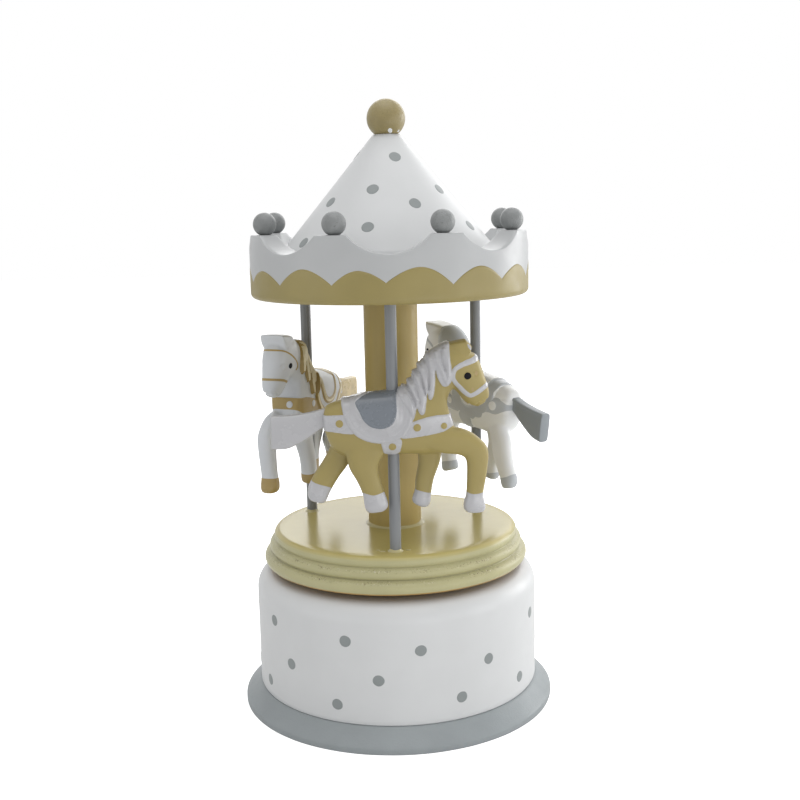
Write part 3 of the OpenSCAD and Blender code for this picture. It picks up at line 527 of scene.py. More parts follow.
def make_platform():
    """Three rounded mouldings under thick glossy lacquer, which pools a little in the grooves."""
    height = PLATFORM_TOP - PLATFORM_Z
    top_r = 43.6
    low_r, mid_r = height * 0.195, height * 0.165
    # Each moulding as the middle and radius of a round
    low = (PLATFORM_R - low_r, low_r * 0.85, low_r)
    mid = (PLATFORM_R - low_r * 0.8 - mid_r, low[1] + low_r + mid_r * 0.95, mid_r)
    top = (top_r, height - height * 0.19, height * 0.19)
    outer = []
    steps = 90
    sharp = 7.0
    for i in range(steps + 1):
        z = height * i / steps
        core = PLATFORM_R - 1.8 * low_r if z < mid[1] + mid_r * 0.8 else top_r
        reach = [core + 0.25]
        reach += [cx + math.sqrt(r * r - (z - cz) ** 2) for cx, cz, r in (low, mid, top) if abs(z - cz) < r]
        r = math.log(sum(math.exp(sharp * (v - core)) for v in reach)) / sharp + core
        outer.append((min(r, PLATFORM_R), PLATFORM_Z + z))
    profile = [(ARBOR_R, PLATFORM_Z + HUB_H), (HUB_R, PLATFORM_Z + HUB_H), (HUB_R, PLATFORM_Z)]
    profile += dense([(HUB_R, PLATFORM_Z), outer[0]], 3)[1:-1] + outer
    profile += dense([outer[-1], (ARBOR_R, PLATFORM_TOP)], 2.5)[1:]
    add_piece("platform_mouldings", *lathe(profile, 320, 0.07, 7, 5.3), *board, ["platform"])


def fillet(centre, inner_r, reach, rise, seed):
    """A thin ring of glue and lacquer that creeps up a post."""
    segments = 72
    verts = []
    outline = [(0.0, 1.0), (0.12, 0.72), (0.3, 0.42), (0.55, 0.18), (0.8, 0.06), (1.0, -0.05), (-0.1, -0.4),
               (-0.15, 0.6)]
    for share_r, share_z in outline:
        for a in turns(segments):
            swell = 1 + 0.35 * wander(math.cos(a), math.sin(a), seed, 0.8, seed)
            x, y, _ = around(inner_r + reach * swell * share_r, 0, a)
            verts.append((x + centre[0], y + centre[1], PLATFORM_TOP + rise * swell * share_z))
    return verts, grid_faces(len(outline), segments, close_rows=True)


def pole_place(side):
    """Where pole number side stands: 0 in front, 1 at the right and 2 at the left."""
    x, y, _ = around(POLE_CIRCLE, 0, math.radians(side * HORSE_STEP))
    return x, y


POST_SEAT = 6.0       # how far the posts go into the platform and the canopy
# Flecks of glue beside the front pole: x, y and radius
FLECKS = ((-4.6, -0.6, 0.7), (-6.2, 0.9, 0.4), (4.4, 0.4, 0.5))


def make_posts():
    """The column and the three poles, with their glue."""
    foot, head = PLATFORM_TOP - POST_SEAT, CANOPY_Z + POST_SEAT
    profile = [(0, foot)] + dense([(COLUMN_R, foot), (COLUMN_R, head)], 2.0) + [(0, head)]
    add_piece("column_post", *lathe(profile, 160, 0.06, 14, 8.9), *column_tan, ["column"])
    rings = [fillet((0, 0), COLUMN_R - 0.05, 1.3, 0.9, 1.3)]
    for side, name in enumerate(("front", "right", "left")):
        profile = [(0, foot)] + dense([(POLE_R, foot), (POLE_R, head)], 2.0) + [(0, head)]
        add_piece(f"pole_{name}_rod", *lathe(profile, 64, 0.025, 9, side * 2.2, pole_place(side)),
                  *pole_grey, [f"pole_{name}"])
        rings.append(fillet(pole_place(side), POLE_R - 0.05, 0.9, 1.0, side + 0.4))
    for dx, dy, r in FLECKS:
        spot = Vector((*pole_place(0), PLATFORM_TOP)) + Vector((dx, dy, 0))
        rings.append(dab(lambda u, v, h: spot + Vector((u, v, h)), r * 1.6, r, dx, thick=0.2))
    add_piece("glue_rings", *joined(rings), *glue)


# -------- canopy and roof

# Painted scallops round the canopy: azimuth and height of each cusp, and height of the arc after it
BAND = [(-72, 159.7, 164.1), (-46.9, 159.5, 165.2), (-22, 159.9, 164.7), (-1.3, 160.6, 165.6),
        (24.4, 159.4, 165.1), (48.7, 160.1, 164.6), (72.5, 159.9, 165.2), (96.5, 159.5, 164.9),
        (120.5, 160, 165.3), (144.5, 159.6, 164.8), (168.5, 160.1, 165.4), (192.5, 159.7, 165),
        (216.5, 159.9, 164.7), (240.5, 159.5, 165.1), (264.5, 160, 164.8)]
BAND_STEPS = 40
PAINT = 0.05
CANOPY_EDGE = 2.0


def scallop_top(r, azimuth):
    """Height of the canopy's rim at a place."""
    step = 2 * math.pi / SCALLOPS
    turn = (azimuth + step / 2) % step - step / 2
    across = min(abs(r * math.sin(turn)), SCALLOP_R)
    centre = CANOPY_TOP - SCALLOP_DEPTH + SCALLOP_R
    return min(CANOPY_TOP, centre - math.sqrt(SCALLOP_R ** 2 - across ** 2))


def canopy_column(azimuth):
    """The canopy's outline at one azimuth, from the middle of the underside round to the recess."""
    edge = CANOPY_EDGE
    slope = (RIM_INNER_R - RECESS_R) / (CANOPY_TOP - ROOF_Z - ROOF_FOOT)
    inner = RIM_INNER_R
    for _ in range(12):
        inner = RECESS_R + slope * (scallop_top(inner, azimuth) - ROOF_Z - ROOF_FOOT)
    points = dense([(0, CANOPY_Z), (CANOPY_R - edge, CANOPY_Z)], 4)
    points += arc(CANOPY_R - edge, CANOPY_Z + edge, edge, -90, 0, 8)[1:]
    top = scallop_top(CANOPY_R, azimuth)
    points += [(CANOPY_R, CANOPY_Z + edge + (top - 0.5 - CANOPY_Z - edge) * i / 8) for i in range(1, 9)]
    points += [(CANOPY_R - 0.08, top - 0.2), (CANOPY_R - 0.22, top - 0.07)]
    for i in range(1, 8):
        r = CANOPY_R - 0.5 + (inner + 0.9 - CANOPY_R) * i / 7
        points.append((r, scallop_top(r, azimuth)))
    low = scallop_top(inner, azimuth)
    points += [(inner + 0.15, low - 0.06), (inner, low - 0.2)]
    floor = ROOF_Z + ROOF_FOOT
    points += [(inner + (RECESS_R - inner) * i / 4, low - 0.2 + (floor - low + 0.2) * i / 4) for i in range(1, 5)]
    return points + [(RECESS_R, ROOF_Z), (RECESS_R / 2, ROOF_Z), (0, ROOF_Z)]


def make_canopy():
    """The rim with its scallops, and the band of paint round its foot."""
    segments = 720
    columns = [canopy_column(a) for a in turns(segments)]
    verts = []
    for row in zip(*columns):
        for (r, z), a in zip(row, turns(segments)):
            outside = r > RIM_INNER_R and z > CANOPY_Z + 0.1
            verts.append(around(r + outside * 0.05 * wander(*around(r, z, a), 16, 4.4), z, a))
    # The rim takes the darker copy of the white paint, as painted shade
    add_piece("canopy_rim", verts, grid_faces(len(columns[0]), segments), *shaded_rim_white, ["canopy"])

    azimuths, tops = [], []
    for i, (start, cusp, crown) in enumerate(BAND):
        end, next_cusp, _ = BAND[(i + 1) % len(BAND)]
        end += 360 if end < start else 0
        for k in range(BAND_STEPS):
            u = 2 * k / BAND_STEPS - 1
            foot = cusp if u < 0 else next_cusp
            azimuths.append(math.radians(start + (end - start) * k / BAND_STEPS))
            tops.append(crown - (crown - foot) * abs(u) ** 1.8 + 0.05 * wander(k * 0.2, i, 0, 1, 0.7))
    rows = band_rows(PAINT, azimuths, tops) + band_rows(-0.1, azimuths, tops)[::-1]
    add_piece("canopy_band", sum(rows, []), grid_faces(len(rows), len(azimuths), close_rows=True), *band_tan)


def band_rows(out, azimuths, tops):
    """Rows of points out millimetres off the rim, from the column over the underside up to the tops."""
    foot_r, bend_r, bend_z = COLUMN_R + 0.2, CANOPY_R - CANOPY_EDGE, CANOPY_Z + CANOPY_EDGE
    line = [(foot_r + (bend_r - foot_r) * share / 2, CANOPY_Z - min(out, 0.03)) for share in range(3)]
    line += arc(bend_r, bend_z, CANOPY_EDGE + out, -75, 0, 5) + [(CANOPY_R + out, bend_z + 1)]
    rows = [[around(r, z, a) for a in azimuths] for r, z in line]
    for share, off in ((0.5, out), (0.9, out), (1.0, out * 0.4)):
        rows.append([around(CANOPY_R + off, bend_z + 1 + (top - bend_z - 1) * share, a)
                     for a, top in zip(azimuths, tops)])
    return rows


# Dots on the cone, as (azimuth, height)
CONE_DOTS = [(13.9, 202.6), (-14, 191.3), (21.7, 186.2), (-12.8, 178.5), (-86, 204), (-54.8, 187.2), (-55.4, 173.4),
             (58.7, 191), (63.8, 178), (98, 182), (121, 197), (146, 175.5), (168, 188), (200, 202), (205, 179),
             (232, 190.5), (250, 175), (140, 206.5), (262, 196)]
CONE_DOT_R = 2.2
# White chips low on the ball, as (azimuth, elevation, size)
CHIPS = [(15, -41, 0.9), (19, -47, 0.6), (58, -42, 0.5)]


def on_cone(azimuth, z):
    """Places points round a spot on the cone, along its slant."""
    a0 = math.radians(azimuth)
    slant = Vector((ROOF_R - ROOF_POINT_R, ROOF_TOP - ROOF_Z - ROOF_FOOT)).normalized()
    r0 = ROOF_POINT_R + (ROOF_TOP - z) * slant.x / slant.y

    def place(u, v, h):
        r = r0 - v * slant.x
        return around(r + h * slant.y, z + v * slant.y + h * slant.x, a0 + u / r)
    return place


def ball(radius, flat_r, base_z, centre, seed, uneven, segments=64):
    """A turned ball that stands on a flat of radius flat_r at height base_z."""
    start = -math.degrees(math.acos(flat_r / radius))
    cz = base_z + math.sqrt(radius ** 2 - flat_r ** 2)
    profile = [(0, base_z - 0.02)] + arc(0, cz, radius, start, 90, 40)
    profile = [(max(r, 0.0), z) for r, z in profile]
    profile[-1] = (0, cz + radius)
    return lathe(profile, segments, uneven, radius * 0.8, seed, centre)


def on_ball(azimuth, elevation):
    """Places points round a spot on the ball on top."""
    a, e = math.radians(azimuth), math.radians(elevation)
    out = Vector((*around(math.cos(e), 0, a)[:2], math.sin(e)))
    across = Vector((*around(1, 0, a + math.pi / 2)[:2], 0))
    up = out.cross(across)
    middle = Vector((0, 0, FINIAL_TOP - FINIAL_R)) + out * FINIAL_R
    return lambda u, v, h: middle + across * u + up * v + out * (h - (u * u + v * v) / (2 * FINIAL_R))


def make_roof():
    """The cone with its dots, the beads on the rim and the ball on top."""
    floor = ROOF_Z + ROOF_FOOT
    profile = [(0, ROOF_Z), (ROOF_R, ROOF_Z)] + dense([(ROOF_R, floor), (ROOF_POINT_R, ROOF_TOP)], 1.5)
    profile += [(0, ROOF_TOP)]
    add_piece("roof_shell", *lathe(profile, 288, 0.05, 13, 6.1), *white, ["roof_cone"])
    dots = [dab(on_cone(a, z), CONE_DOT_R, CONE_DOT_R, 50 + 2.9 * i) for i, (a, z) in enumerate(CONE_DOTS)]
    add_piece("roof_dots", *joined(dots), *dot_grey)

    beads = []
    for i in range(SCALLOPS):
        x, y, _ = around(BEAD_CIRCLE, 0, math.radians((i + 0.5) * 360 / SCALLOPS))
        beads.append(ball(BEAD_R, 1.8, CANOPY_TOP, (x, y), 9 + i, 0.03))
    add_piece("rim_beads", *joined(beads), *bead_grey, ["roof_beads"])
    chips = [dab(on_ball(a, e), size, size, 91 + a, uneven=0.25) for a, e, size in CHIPS]
    # The chips take the right horse's white, which is painted lighter as painted light
    add_piece("finial_chips", *joined(chips), *snow_and_lit_white)
    add_piece("finial_ball", *ball(FINIAL_R, 4.0, ROOF_TOP, (0, 0), 2.5, 0.04, 96), *finial_tan, ["finial"])


make_base()
make_platform()
make_posts()
make_canopy()
make_roof()


# -------- horses: tools
# A horse is modelled in its own frame in millimetres: x forward from its pole, y sideways with the outside
# of the ring at -y, and z up from its belly.

BELLY_Z = 102.0
LEG_OFFSET = 3.4      # of the fore legs, to each side
HIND_OFFSET = 2.8
HORSE_REACH = 16.0    # half the width that a slab cuts through
STROKE_STEPS = 6
TAIL_ROOT = (-22.6, 12.4)
TAIL_END = -19.2
# How each horse sits on its pole: turn and nose-up pitch in degrees, and rise in millimetres
HORSE_SET = [(0, 0, 0), (4.5, 2.4, -2.1), (7.5, 0, -0.4)]
# Legs bent on each horse: its side (+1 far, -1 near), the x range of its leg, and how far the hoof
# goes forward, to the far side and up
LEG_MOVES = [[], [(1, -40, -8, 3.0, 0, -1.9), (-1, 18, 40, 6.0, 1.5, 0), (1, 2, 18, 2.8, 0, -0.5)],
             [(1, -40, -8, 7.5, -2.0, 0), (1, 2, 18, 0, 0.8, -0.5)]]


def curve_point(a, b, c, d, t):
    """A point of a smooth curve through b and c."""
    return 0.5 * (2 * b + (c - a) * t + (2 * a - 5 * b + 4 * c - d) * t ** 2 + (3 * b - a - 3 * c + d) * t ** 3)


def refined(rows, steps, closed=False):
    """The same rows of numbers with steps - 1 smooth rows between each two."""
    rows = np.array(rows, float)
    n = len(rows)
    out = []
    for i in range(n if closed else n - 1):
        if closed:
            a, b, c, d = rows[i - 1], rows[i], rows[(i + 1) % n], rows[(i + 2) % n]
        else:
            a, b, c, d = rows[max(i - 1, 0)], rows[i], rows[i + 1], rows[min(i + 2, n - 1)]
        out += [curve_point(a, b, c, d, k / steps) for k in range(steps)]
    if not closed:
        out.append(rows[-1])
    return np.array(out)


def loft(sections, side=0.0, n=40, steps=6, square=0.8):
    """A closed skin over oval sections of (upper x, upper z, lower x, lower z, half width)."""
    rows = refined(sections, steps)
    verts = []
    for ux, uz, lx, lz, half in rows:
        for a in turns(n):
            v = math.copysign(abs(math.cos(a)) ** square, math.cos(a)) / 2
            w = math.copysign(abs(math.sin(a)) ** square, math.sin(a)) * half
            verts.append(((ux + lx) / 2 + (ux - lx) * v, side + w, (uz + lz) / 2 + (uz - lz) * v))
    faces = grid_faces(len(rows), n)
    faces += [tuple(range(n)), tuple((len(rows) - 1) * n + k for k in range(n))]
    return verts, faces


def harvest(obj, *helpers):
    """Points, faces and normals of the object with its modifiers, after which it is removed."""
    bpy.context.view_layer.update()
    mesh = obj.evaluated_get(bpy.context.evaluated_depsgraph_get()).to_mesh()
    verts = np.empty(len(mesh.vertices) * 3)
    mesh.vertices.foreach_get("co", verts)
    normals = np.empty(len(mesh.vertices) * 3)
    mesh.vertex_normals.foreach_get("vector", normals)
    faces = [tuple(f.vertices) for f in mesh.polygons]
    for o in (obj, *helpers):
        data = o.data
        bpy.data.objects.remove(o)
        bpy.data.meshes.remove(data)
    return verts.reshape(-1, 3), faces, normals.reshape(-1, 3)


def fused(parts, voxel, rounds):
    """One smooth closed skin round overlapping closed parts."""
    obj = solid("scratch", *joined(parts))
    remesh = obj.modifiers.new("remesh", "REMESH")
    remesh.mode = "VOXEL"
    remesh.voxel_size = voxel
    soften = obj.modifiers.new("soften", "SMOOTH")
    soften.factor = 0.5
    soften.iterations = rounds
    return harvest(obj)


def prism(outline):
    """A closed slab across the horse with the outline given in x and z."""
    n = len(outline)
    verts = [(x, y, z) for y in (-HORSE_REACH, HORSE_REACH) for x, z in outline]
    faces = [(k, (k + 1) % n, n + (k + 1) % n, n + k) for k in range(n)]
    return verts, faces + [tuple(range(n)), tuple(range(n, 2 * n))]


def rounded(outline, seed=0.0):
    """A closed outline with soft corners and a hand-painted edge."""
    uneven, spread = 0.07, 1.6
    return [(x + uneven * wander(x, z, seed, spread, seed), z + uneven * wander(z, x, seed, spread, seed + 5))
            for x, z in refined(outline, STROKE_STEPS, closed=True)]


def stroke(points, width, seed=0.0, taper=1.0):
    """The outline of a brush stroke along points, with round ends."""
    line = refined(points, STROKE_STEPS)
    ahead = np.gradient(line, axis=0)
    ahead /= np.linalg.norm(ahead, axis=1)[:, None]
    left = np.stack([-ahead[:, 1], ahead[:, 0]], axis=1)
    share = np.linspace(0, 1, len(line))
    half = np.array([width / 2 * (1 - (1 - taper) * t) * (1 + 0.12 * wander(t * 7, seed, 0, 1, seed))
                     for t in share])[:, None]
    cap = [math.radians(a) for a in (60, 30, 0, -30, -60)]
    end = [line[-1] + half[-1] * (math.cos(a) * ahead[-1] + math.sin(a) * left[-1]) for a in cap]
    start = [line[0] - half[0] * (math.cos(a) * ahead[0] + math.sin(a) * left[0]) for a in cap]
    return [tuple(p) for p in [*(line + left * half), *end, *(line - left * half)[::-1], *start]]


def oval(x, z, rx, rz=None, seed=0.0):
    """The outline of a dot."""
    rz = rx if rz is None else rz
    return [(x + rx * math.cos(t) * (1 + 0.05 * wander(math.cos(t), math.sin(t), seed, 1, seed)),
             z + rz * math.sin(t) * (1 + 0.05 * wander(math.sin(t), math.cos(t), seed, 1, seed)))
            for t in turns(SPOKES)]


def ovals(rows):
    """The outlines of several dots, each as (x, z, radius) or (x, z, two radii)."""
    return [oval(*row, seed=i) for i, row in enumerate(rows)]


def strokes(lines, width, taper=1.0):
    """The outlines of several brush strokes."""
    return [stroke(line, width, i, taper) for i, line in enumerate(lines)]


def from_segment(points, start, end):
    """How far each (x, z) point is from a straight line between two points."""
    (ax, az), (bx, bz) = start, end
    dx, dz = bx - ax, bz - az
    t = np.clip(((points[:, 0] - ax) * dx + (points[:, 1] - az) * dz) / (dx * dx + dz * dz + 1e-12), 0, 1)
    return np.hypot(points[:, 0] - ax - t * dx, points[:, 1] - az - t * dz)


def line_distance(points, line):
    """How far each (x, z) point is from a line of points."""
    return np.minimum.reduce([from_segment(points, *ends) for ends in zip(line[:-1], line[1:])])


def inside_depth(points, outline):
    """How far each (x, z) point is inside an outline, below 0 outside it."""
    closed = np.array([*outline, outline[0]])
    within = np.zeros(len(points), bool)
    for (ax, az), (bx, bz) in zip(closed[:-1], closed[1:]):
        if bz != az:
            crosses = (az > points[:, 1]) != (bz > points[:, 1])
            within ^= crosses & (points[:, 0] < ax + (points[:, 1] - az) * (bx - ax) / (bz - az))
    best = line_distance(points, closed)
    return np.where(within, best, -best)


def plate(points, outline, height, soft=0.5, inset=0.0):
    """Height of a flat raised patch with rounded edges, which starts inset millimetres inside its outline."""
    share = np.clip((inside_depth(points, outline) - inset) / soft, 0, 1)
    return height * np.sqrt(1 - (1 - share) ** 2)


def ridge(points, line, height, half):
    """Height of a rounded ridge, or of a groove if height is below 0, that fades at its ends."""
    return height * np.clip(1 - (line_distance(points, refined(line, 5)) / half) ** 2, 0, 1)


def bump_at(points, x, z, height, radius):
    """Height of a small round dome, or of a dent."""
    share = np.clip(1 - np.hypot(points[:, 0] - x, points[:, 1] - z) / radius, 0, 1)
    return height * (1 - (1 - share) ** 2)


# -------- horses: forms and patterns

# Sections of (upper x, upper z, lower x, lower z, half width)
BODY = [(-23.7, 13.8, -23.7, 10.0, 1.9), (-22.9, 16.2, -22.9, 6.0, 4.0), (-20, 17.7, -20.5, 1.2, 5.1),
        (-14, 19.3, -14.5, -1.4, 6.1), (-7, 20.2, -6, -0.9, 6.7), (0, 20.9, 2, -0.8, 6.8),
        (4.2, 22.4, 11, -1, 6.7), (7.2, 26.6, 18.5, -0.2, 6.6), (9.9, 30.7, 21.4, 5, 6.3),
        (12.9, 34.1, 20, 11.2, 6.0), (16.3, 36.2, 18.7, 16.8, 5.8), (20, 37.4, 20.4, 21.2, 5.9),
        (25, 36.8, 21.8, 20.6, 5.6), (29.3, 32.1, 23.2, 18.8, 4.9), (31.5, 26, 24.8, 16.8, 4.0),
        (33.2, 20.3, 27.7, 14.9, 3.0), (32.8, 17.3, 30.2, 15.4, 1.6)]
HIND_NEAR = [(-4, 9, -14.5, 9, 1.7), (-2.5, 2, -16.5, 2, 2.6), (-5.2, -4.5, -15.3, -5, 2.5),
             (-4.6, -9.5, -12.9, -9.6, 2.2), (-3.2, -14.4, -10.8, -14.8, 2.2), (-2.4, -17, -10.5, -17.6, 2.4),
             (-2.2, -18.8, -10, -19.9, 2.4), (-3.6, -20.4, -8.8, -21, 1.9)]
HIND_FAR = [(-11, 9, -19.5, 9, 1.7), (-11.9, 2, -21.4, 2.6, 2.6), (-15.9, -5.0, -24.7, -3.3, 2.5),
            (-19.1, -9.2, -27.6, -7.6, 2.3), (-21.9, -13.6, -29.6, -11.5, 2.3), (-23.1, -16.0, -30.3, -14.2, 2.4),
            (-23.9, -17.8, -30.0, -16.4, 2.4), (-24.9, -18.6, -29.2, -17.6, 1.9)]
FORE_FAR = [(16, 9, 8, 9, 1.9), (17, 2, 8, 2, 3.1), (16.2, -4.5, 8.6, -4.5, 3.2), (13.9, -11, 7.4, -11, 3.0),
            (12.9, -16.2, 7.2, -14.6, 3.0), (12.6, -18.6, 6.3, -17.2, 3.2), (12, -20.2, 6.2, -18.8, 3.2),
            (10.9, -20.9, 7.6, -19.8, 2.4)]
FORE_NEAR = [(10, 8.5, 10, 1.5, 1.9), (17, 9, 16.5, -0.3, 3.1), (24, 8, 22, -1, 3.3), (29, 5, 24.4, -2.2, 3.3),
             (32.4, 0.5, 25, -4.6, 3.2), (31.9, -7.5, 25, -8.5, 3.0), (30.6, -14.8, 24.7, -15, 3.0),
             (31.0, -17.4, 24.0, -17.2, 3.2), (31.3, -20, 23.8, -19.8, 3.2), (30.4, -21.3, 24.8, -21.2, 2.6)]
FORELOCK = [(17.8, 36.8, 20, 32, 3.8), (22, 37.7, 23, 31.5, 4.9), (24.8, 38.1, 25.0, 32.0, 5.0),
            (26.4, 38.1, 26.4, 33.2, 5.0), (27.6, 38.2, 27.2, 34.6, 4.9), (28.4, 38.3, 27.8, 36.4, 4.5)]

# Outlines and lines on the front horse's side, in x and z
SADDLE = [(-2, 24), (-6.0, 22.2), (-8.6, 20.7), (-11.2, 19.4), (-12.5, 18.3), (-12.3, 17), (-11.4, 15.3),
          (-9.9, 12.3), (-7.9, 10.3), (-5.5, 9.4), (-2.6, 9.4), (-0.2, 10.7), (1.0, 12.9), (1.4, 15.4),
          (1.3, 18), (1.4, 20), (1.6, 24)]
CLOTH = [(-17.5, 24), (-17.4, 18.3), (-17.1, 15.8), (-16.2, 12.5), (-14.5, 9.1), (-12.1, 6.5), (-8.9, 4.8),
         (-5.2, 4.0), (-1.7, 4.2), (1.5, 5.1), (4.1, 7.0), (6.1, 9.8), (7.0, 12.7), (7.2, 15.7), (6.7, 18),
         (5.6, 20), (4.2, 21.6), (3.4, 26)]
REAR_LENS = [(-30, 11.2), (-24, 11.9), (-21.5, 13.0), (-18.4, 14.2), (-15.4, 13.6), (-12, 12.6), (-12, 8.6),
             (-15.4, 8.2), (-18.4, 7.9), (-21.5, 9.2), (-24, 10.0), (-30, 9.8)]
CLOTH_EDGE = [(-16.6, 18.5), (-16.3, 15.9), (-15.4, 12.8), (-13.8, 9.6), (-11.6, 7.2), (-8.6, 5.6), (-5.2, 4.9),
              (-1.9, 5.0), (1.1, 5.9), (3.5, 7.6), (5.3, 10.1), (6.1, 12.8), (6.3, 15.6), (5.8, 18), (4.8, 19.9)]
CLOTH_VALLEY = [(-14.6, 18.5), (-14.2, 15.8), (-13.3, 13.4), (-11.8, 11.0), (-9.6, 8.8), (-7.0, 7.4), (-4, 7.0),
                (-1, 7.6), (1.6, 9.2), (3.3, 11.8), (3.8, 15), (3.7, 18)]
REAR_STRAP = [(-30, 13.2), (-23.2, 13.6), (-16.4, 13.9), (-13.4, 13.5), (-11, 10), (-13, 7.6), (-16, 7.5),
              (-22.7, 8.2), (-30, 8)]
FRONT_STRAP = [(4.5, 10.4), (6.5, 11.1), (10.6, 12.5), (14.7, 13.3), (18.6, 13.5), (25, 14.3), (25, 10.4),
               (20.8, 9.4), (17.1, 7.6), (12.6, 6.6), (8.4, 6.0), (3.0, 5.6), (2.5, 8)]
GIRTH = [(-3.6, 5.5), (-3.6, 1.2), (-2.9, 0), (-1.4, -0.5), (0.6, -0.6), (1.8, 0.1), (2.5, 1.4), (2.5, 5.5)]
HOOVES = [[(-12, -14.2), (-7, -14.4), (-1.5, -14.0), (0, -23), (-12, -23)],
          [(-32, -9.3), (-27.6, -10.9), (-21, -13.6), (-20, -19), (-34, -19)],
          [(4, -13.8), (7.4, -14.2), (12.9, -15.6), (15, -16.3), (15, -22), (4, -22)],
          [(22, -14.2), (27, -14.4), (33, -14.9), (34, -23.5), (22, -23.5)]]
# How much lower the paint of each hoof starts on the two horses behind
RIGHT_DROPS = (4.0, 2.5, 1.6, 1.3)
LEFT_DROPS = (1.3,) * 4
MANE = [(2.2, 20), (2.4, 23), (6.4, 29), (10.8, 35), (15, 39), (19.2, 39), (19.6, 33.8), (20.1, 29.7),
        (20.3, 26.3), (19.9, 24.3), (18.8, 23.1), (17.4, 23.0), (16.2, 24.4), (15.2, 26.5), (14.8, 28.5),
        (14.5, 23.6), (13.9, 19.9), (13.0, 18.6), (12.2, 19.1), (11.9, 21.0), (11.4, 17.4), (10.9, 14.3),
        (9.8, 13.5), (8.8, 14.6), (8.2, 15.8), (7.6, 13.6), (7.0, 12.0), (6.4, 14)]
LEFT_MANE = [(2.2, 20), (2.4, 23), (5.6, 28.6), (8.8, 33.6), (11.6, 34.6), (14.2, 33.2), (16.2, 30.4),
             (17.4, 27.2), (17.7, 23.8), (16.9, 22.4), (15.9, 22.4), (15.0, 24.2), (14.7, 26.5), *MANE[15:]]
MANE_STRANDS = [[(15.2, 34), (15.9, 31), (17.4, 27.2), (18.2, 24.2)],
                [(18.0, 35), (19.0, 31), (19.2, 27), (18.6, 24.2)],
                [(12.4, 33.5), (13.4, 30.6), (13.7, 25.7), (13.1, 19.8)], [(9.4, 30.2), (10.9, 27), (11.7, 22.5)],
                [(7.6, 27.8), (9.2, 24.5), (10.4, 19.5), (10.0, 14.8)], [(5.6, 25), (7.2, 22), (8.7, 18.5)],
                [(3.9, 22.9), (5.6, 20), (7.1, 15.5), (7.1, 13.4)]]
LEFT_STRANDS = [[(12.2, 33.2), (13.8, 30.6), (14.9, 27.6), (15.9, 23.6)],
                [(14.0, 32.2), (15.4, 29.8), (16.4, 27.0), (16.9, 23.9)], *MANE_STRANDS[2:]]
MANE_GROOVES = [[(16.6, 34.5), (17.2, 31.5), (18.0, 28.5)], [(11.2, 31.8), (12.4, 28), (12.4, 22)],
                [(8.6, 28.8), (10.2, 25), (11.0, 20.5)], [(6.6, 26), (8.2, 22.5), (9.2, 17.5)],
                [(4.8, 23.6), (6.4, 20.4), (7.8, 16.6)]]
BRIDLE = [(30.2, 33.2), (28.1, 31.7), (25.4, 30.8), (23.3, 30.0), (21.5, 28.9), (20.7, 27.3), (20.7, 25.6),
          (21.6, 23.9), (23.0, 22.3), (24.6, 20.6), (26.4, 19.4), (28.2, 20.0), (29.8, 21.0), (34, 23.9)]
BROW_BAND = BRIDLE[:5]
LIPS = [(26.4, 15.9), (28.0, 15.2), (29.1, 16.0), (30.2, 16.9), (31.8, 17.1), (33.6, 17.7)]
EYE = (25.6, 26.3)
# Worn spots round the front horse's eye, and the chipped tip of its forelock: middle and two radii
MARKS = [(28.6, 27.0, 0.5, 0.85), (23.9, 29.3, 0.55, 0.4), (27.3, 21.5, 0.4, 0.7)]
CHIP = (27.0, 37.2, 1.0, 0.7)
STUDS = [(-18.1, 11.0, 1.3), (8.2, 9.3, 1.3), (17.3, 9.6, 1.1), (-0.3, 2.7, 1.3)]

# The same for the two horses behind, where they differ
HOOD_MANE = [(3.0, 21.5), (2.6, 23.5), (6.4, 29.5), (10.8, 36), (14, 39.5), (18.2, 39.5), (18.3, 34), (17.4, 29.5),
             (15.5, 25.5), (11.2, 21.5), (7.6, 18.6), (5.0, 18.0)]
SADDLE_LINES = [SADDLE[1:-1], [(-19, 19), (-18.6, 15.6), (-17.4, 12.2), *CLOTH_EDGE[3:]]]
LEFT_EYE = (24.4, 26.5)
CHEST_STUD = (19.9, 2.3, 11.0)  # x, y and z
LEFT_BRIDLE = [([(31, 33.0), (27.4, 32.4), (24.6, 31.0), (22.2, 29.4), (20.2, 27.6), (19.3, 25.9), (19.8, 24.5)],
                0.65),
               ([(34, 22.6), (28.2, 21.6), (25.2, 20.6)], 0.9)]
SADDLE_BACK = [(-12.6, 24), (-12.5, 19.6), (-12.2, 18), *SADDLE[6:]]
RIGHT_STUDS = [(-16.9, 11.0, 1.75), *STUDS[1:3]]
LEFT_STUDS = [STUDS[0], (9.6, 10.2, 1.3), STUDS[3]]


def scalloped(outline, count, depth):
    """The lower edge of an outline broken into round lobes."""
    line = refined(outline, 10, closed=True)
    middle = line.mean(axis=0)
    out = []
    along = 0.0
    for i, point in enumerate(line):
        along += float(np.hypot(*(point - line[i - 1])))
        away = (point - middle) / np.linalg.norm(point - middle)
        out.append(tuple(point - away * depth * (1 - abs(math.sin(math.pi * along / count)))))
    return out


# -------- horses: making

HORSE_VOXEL = 0.34


def horse_skin():
    """The carved form that all three horses share."""
    parts = [loft(BODY, n=48), loft(HIND_NEAR, -HIND_OFFSET, 32), loft(HIND_FAR, HIND_OFFSET, 32),
             loft(FORE_FAR, LEG_OFFSET, 32), loft(FORE_NEAR, -LEG_OFFSET, 32)]
    verts, faces, _ = fused(parts, HORSE_VOXEL, 16)
    return fused([(verts.tolist(), faces), loft(FORELOCK, square=0.4)], HORSE_VOXEL, 3)


def turned(a, b, degrees):
    """Two coordinates turned about their origin."""
    c, s = math.cos(math.radians(degrees)), math.sin(math.radians(degrees))
    return a * c - b * s, a * s + b * c


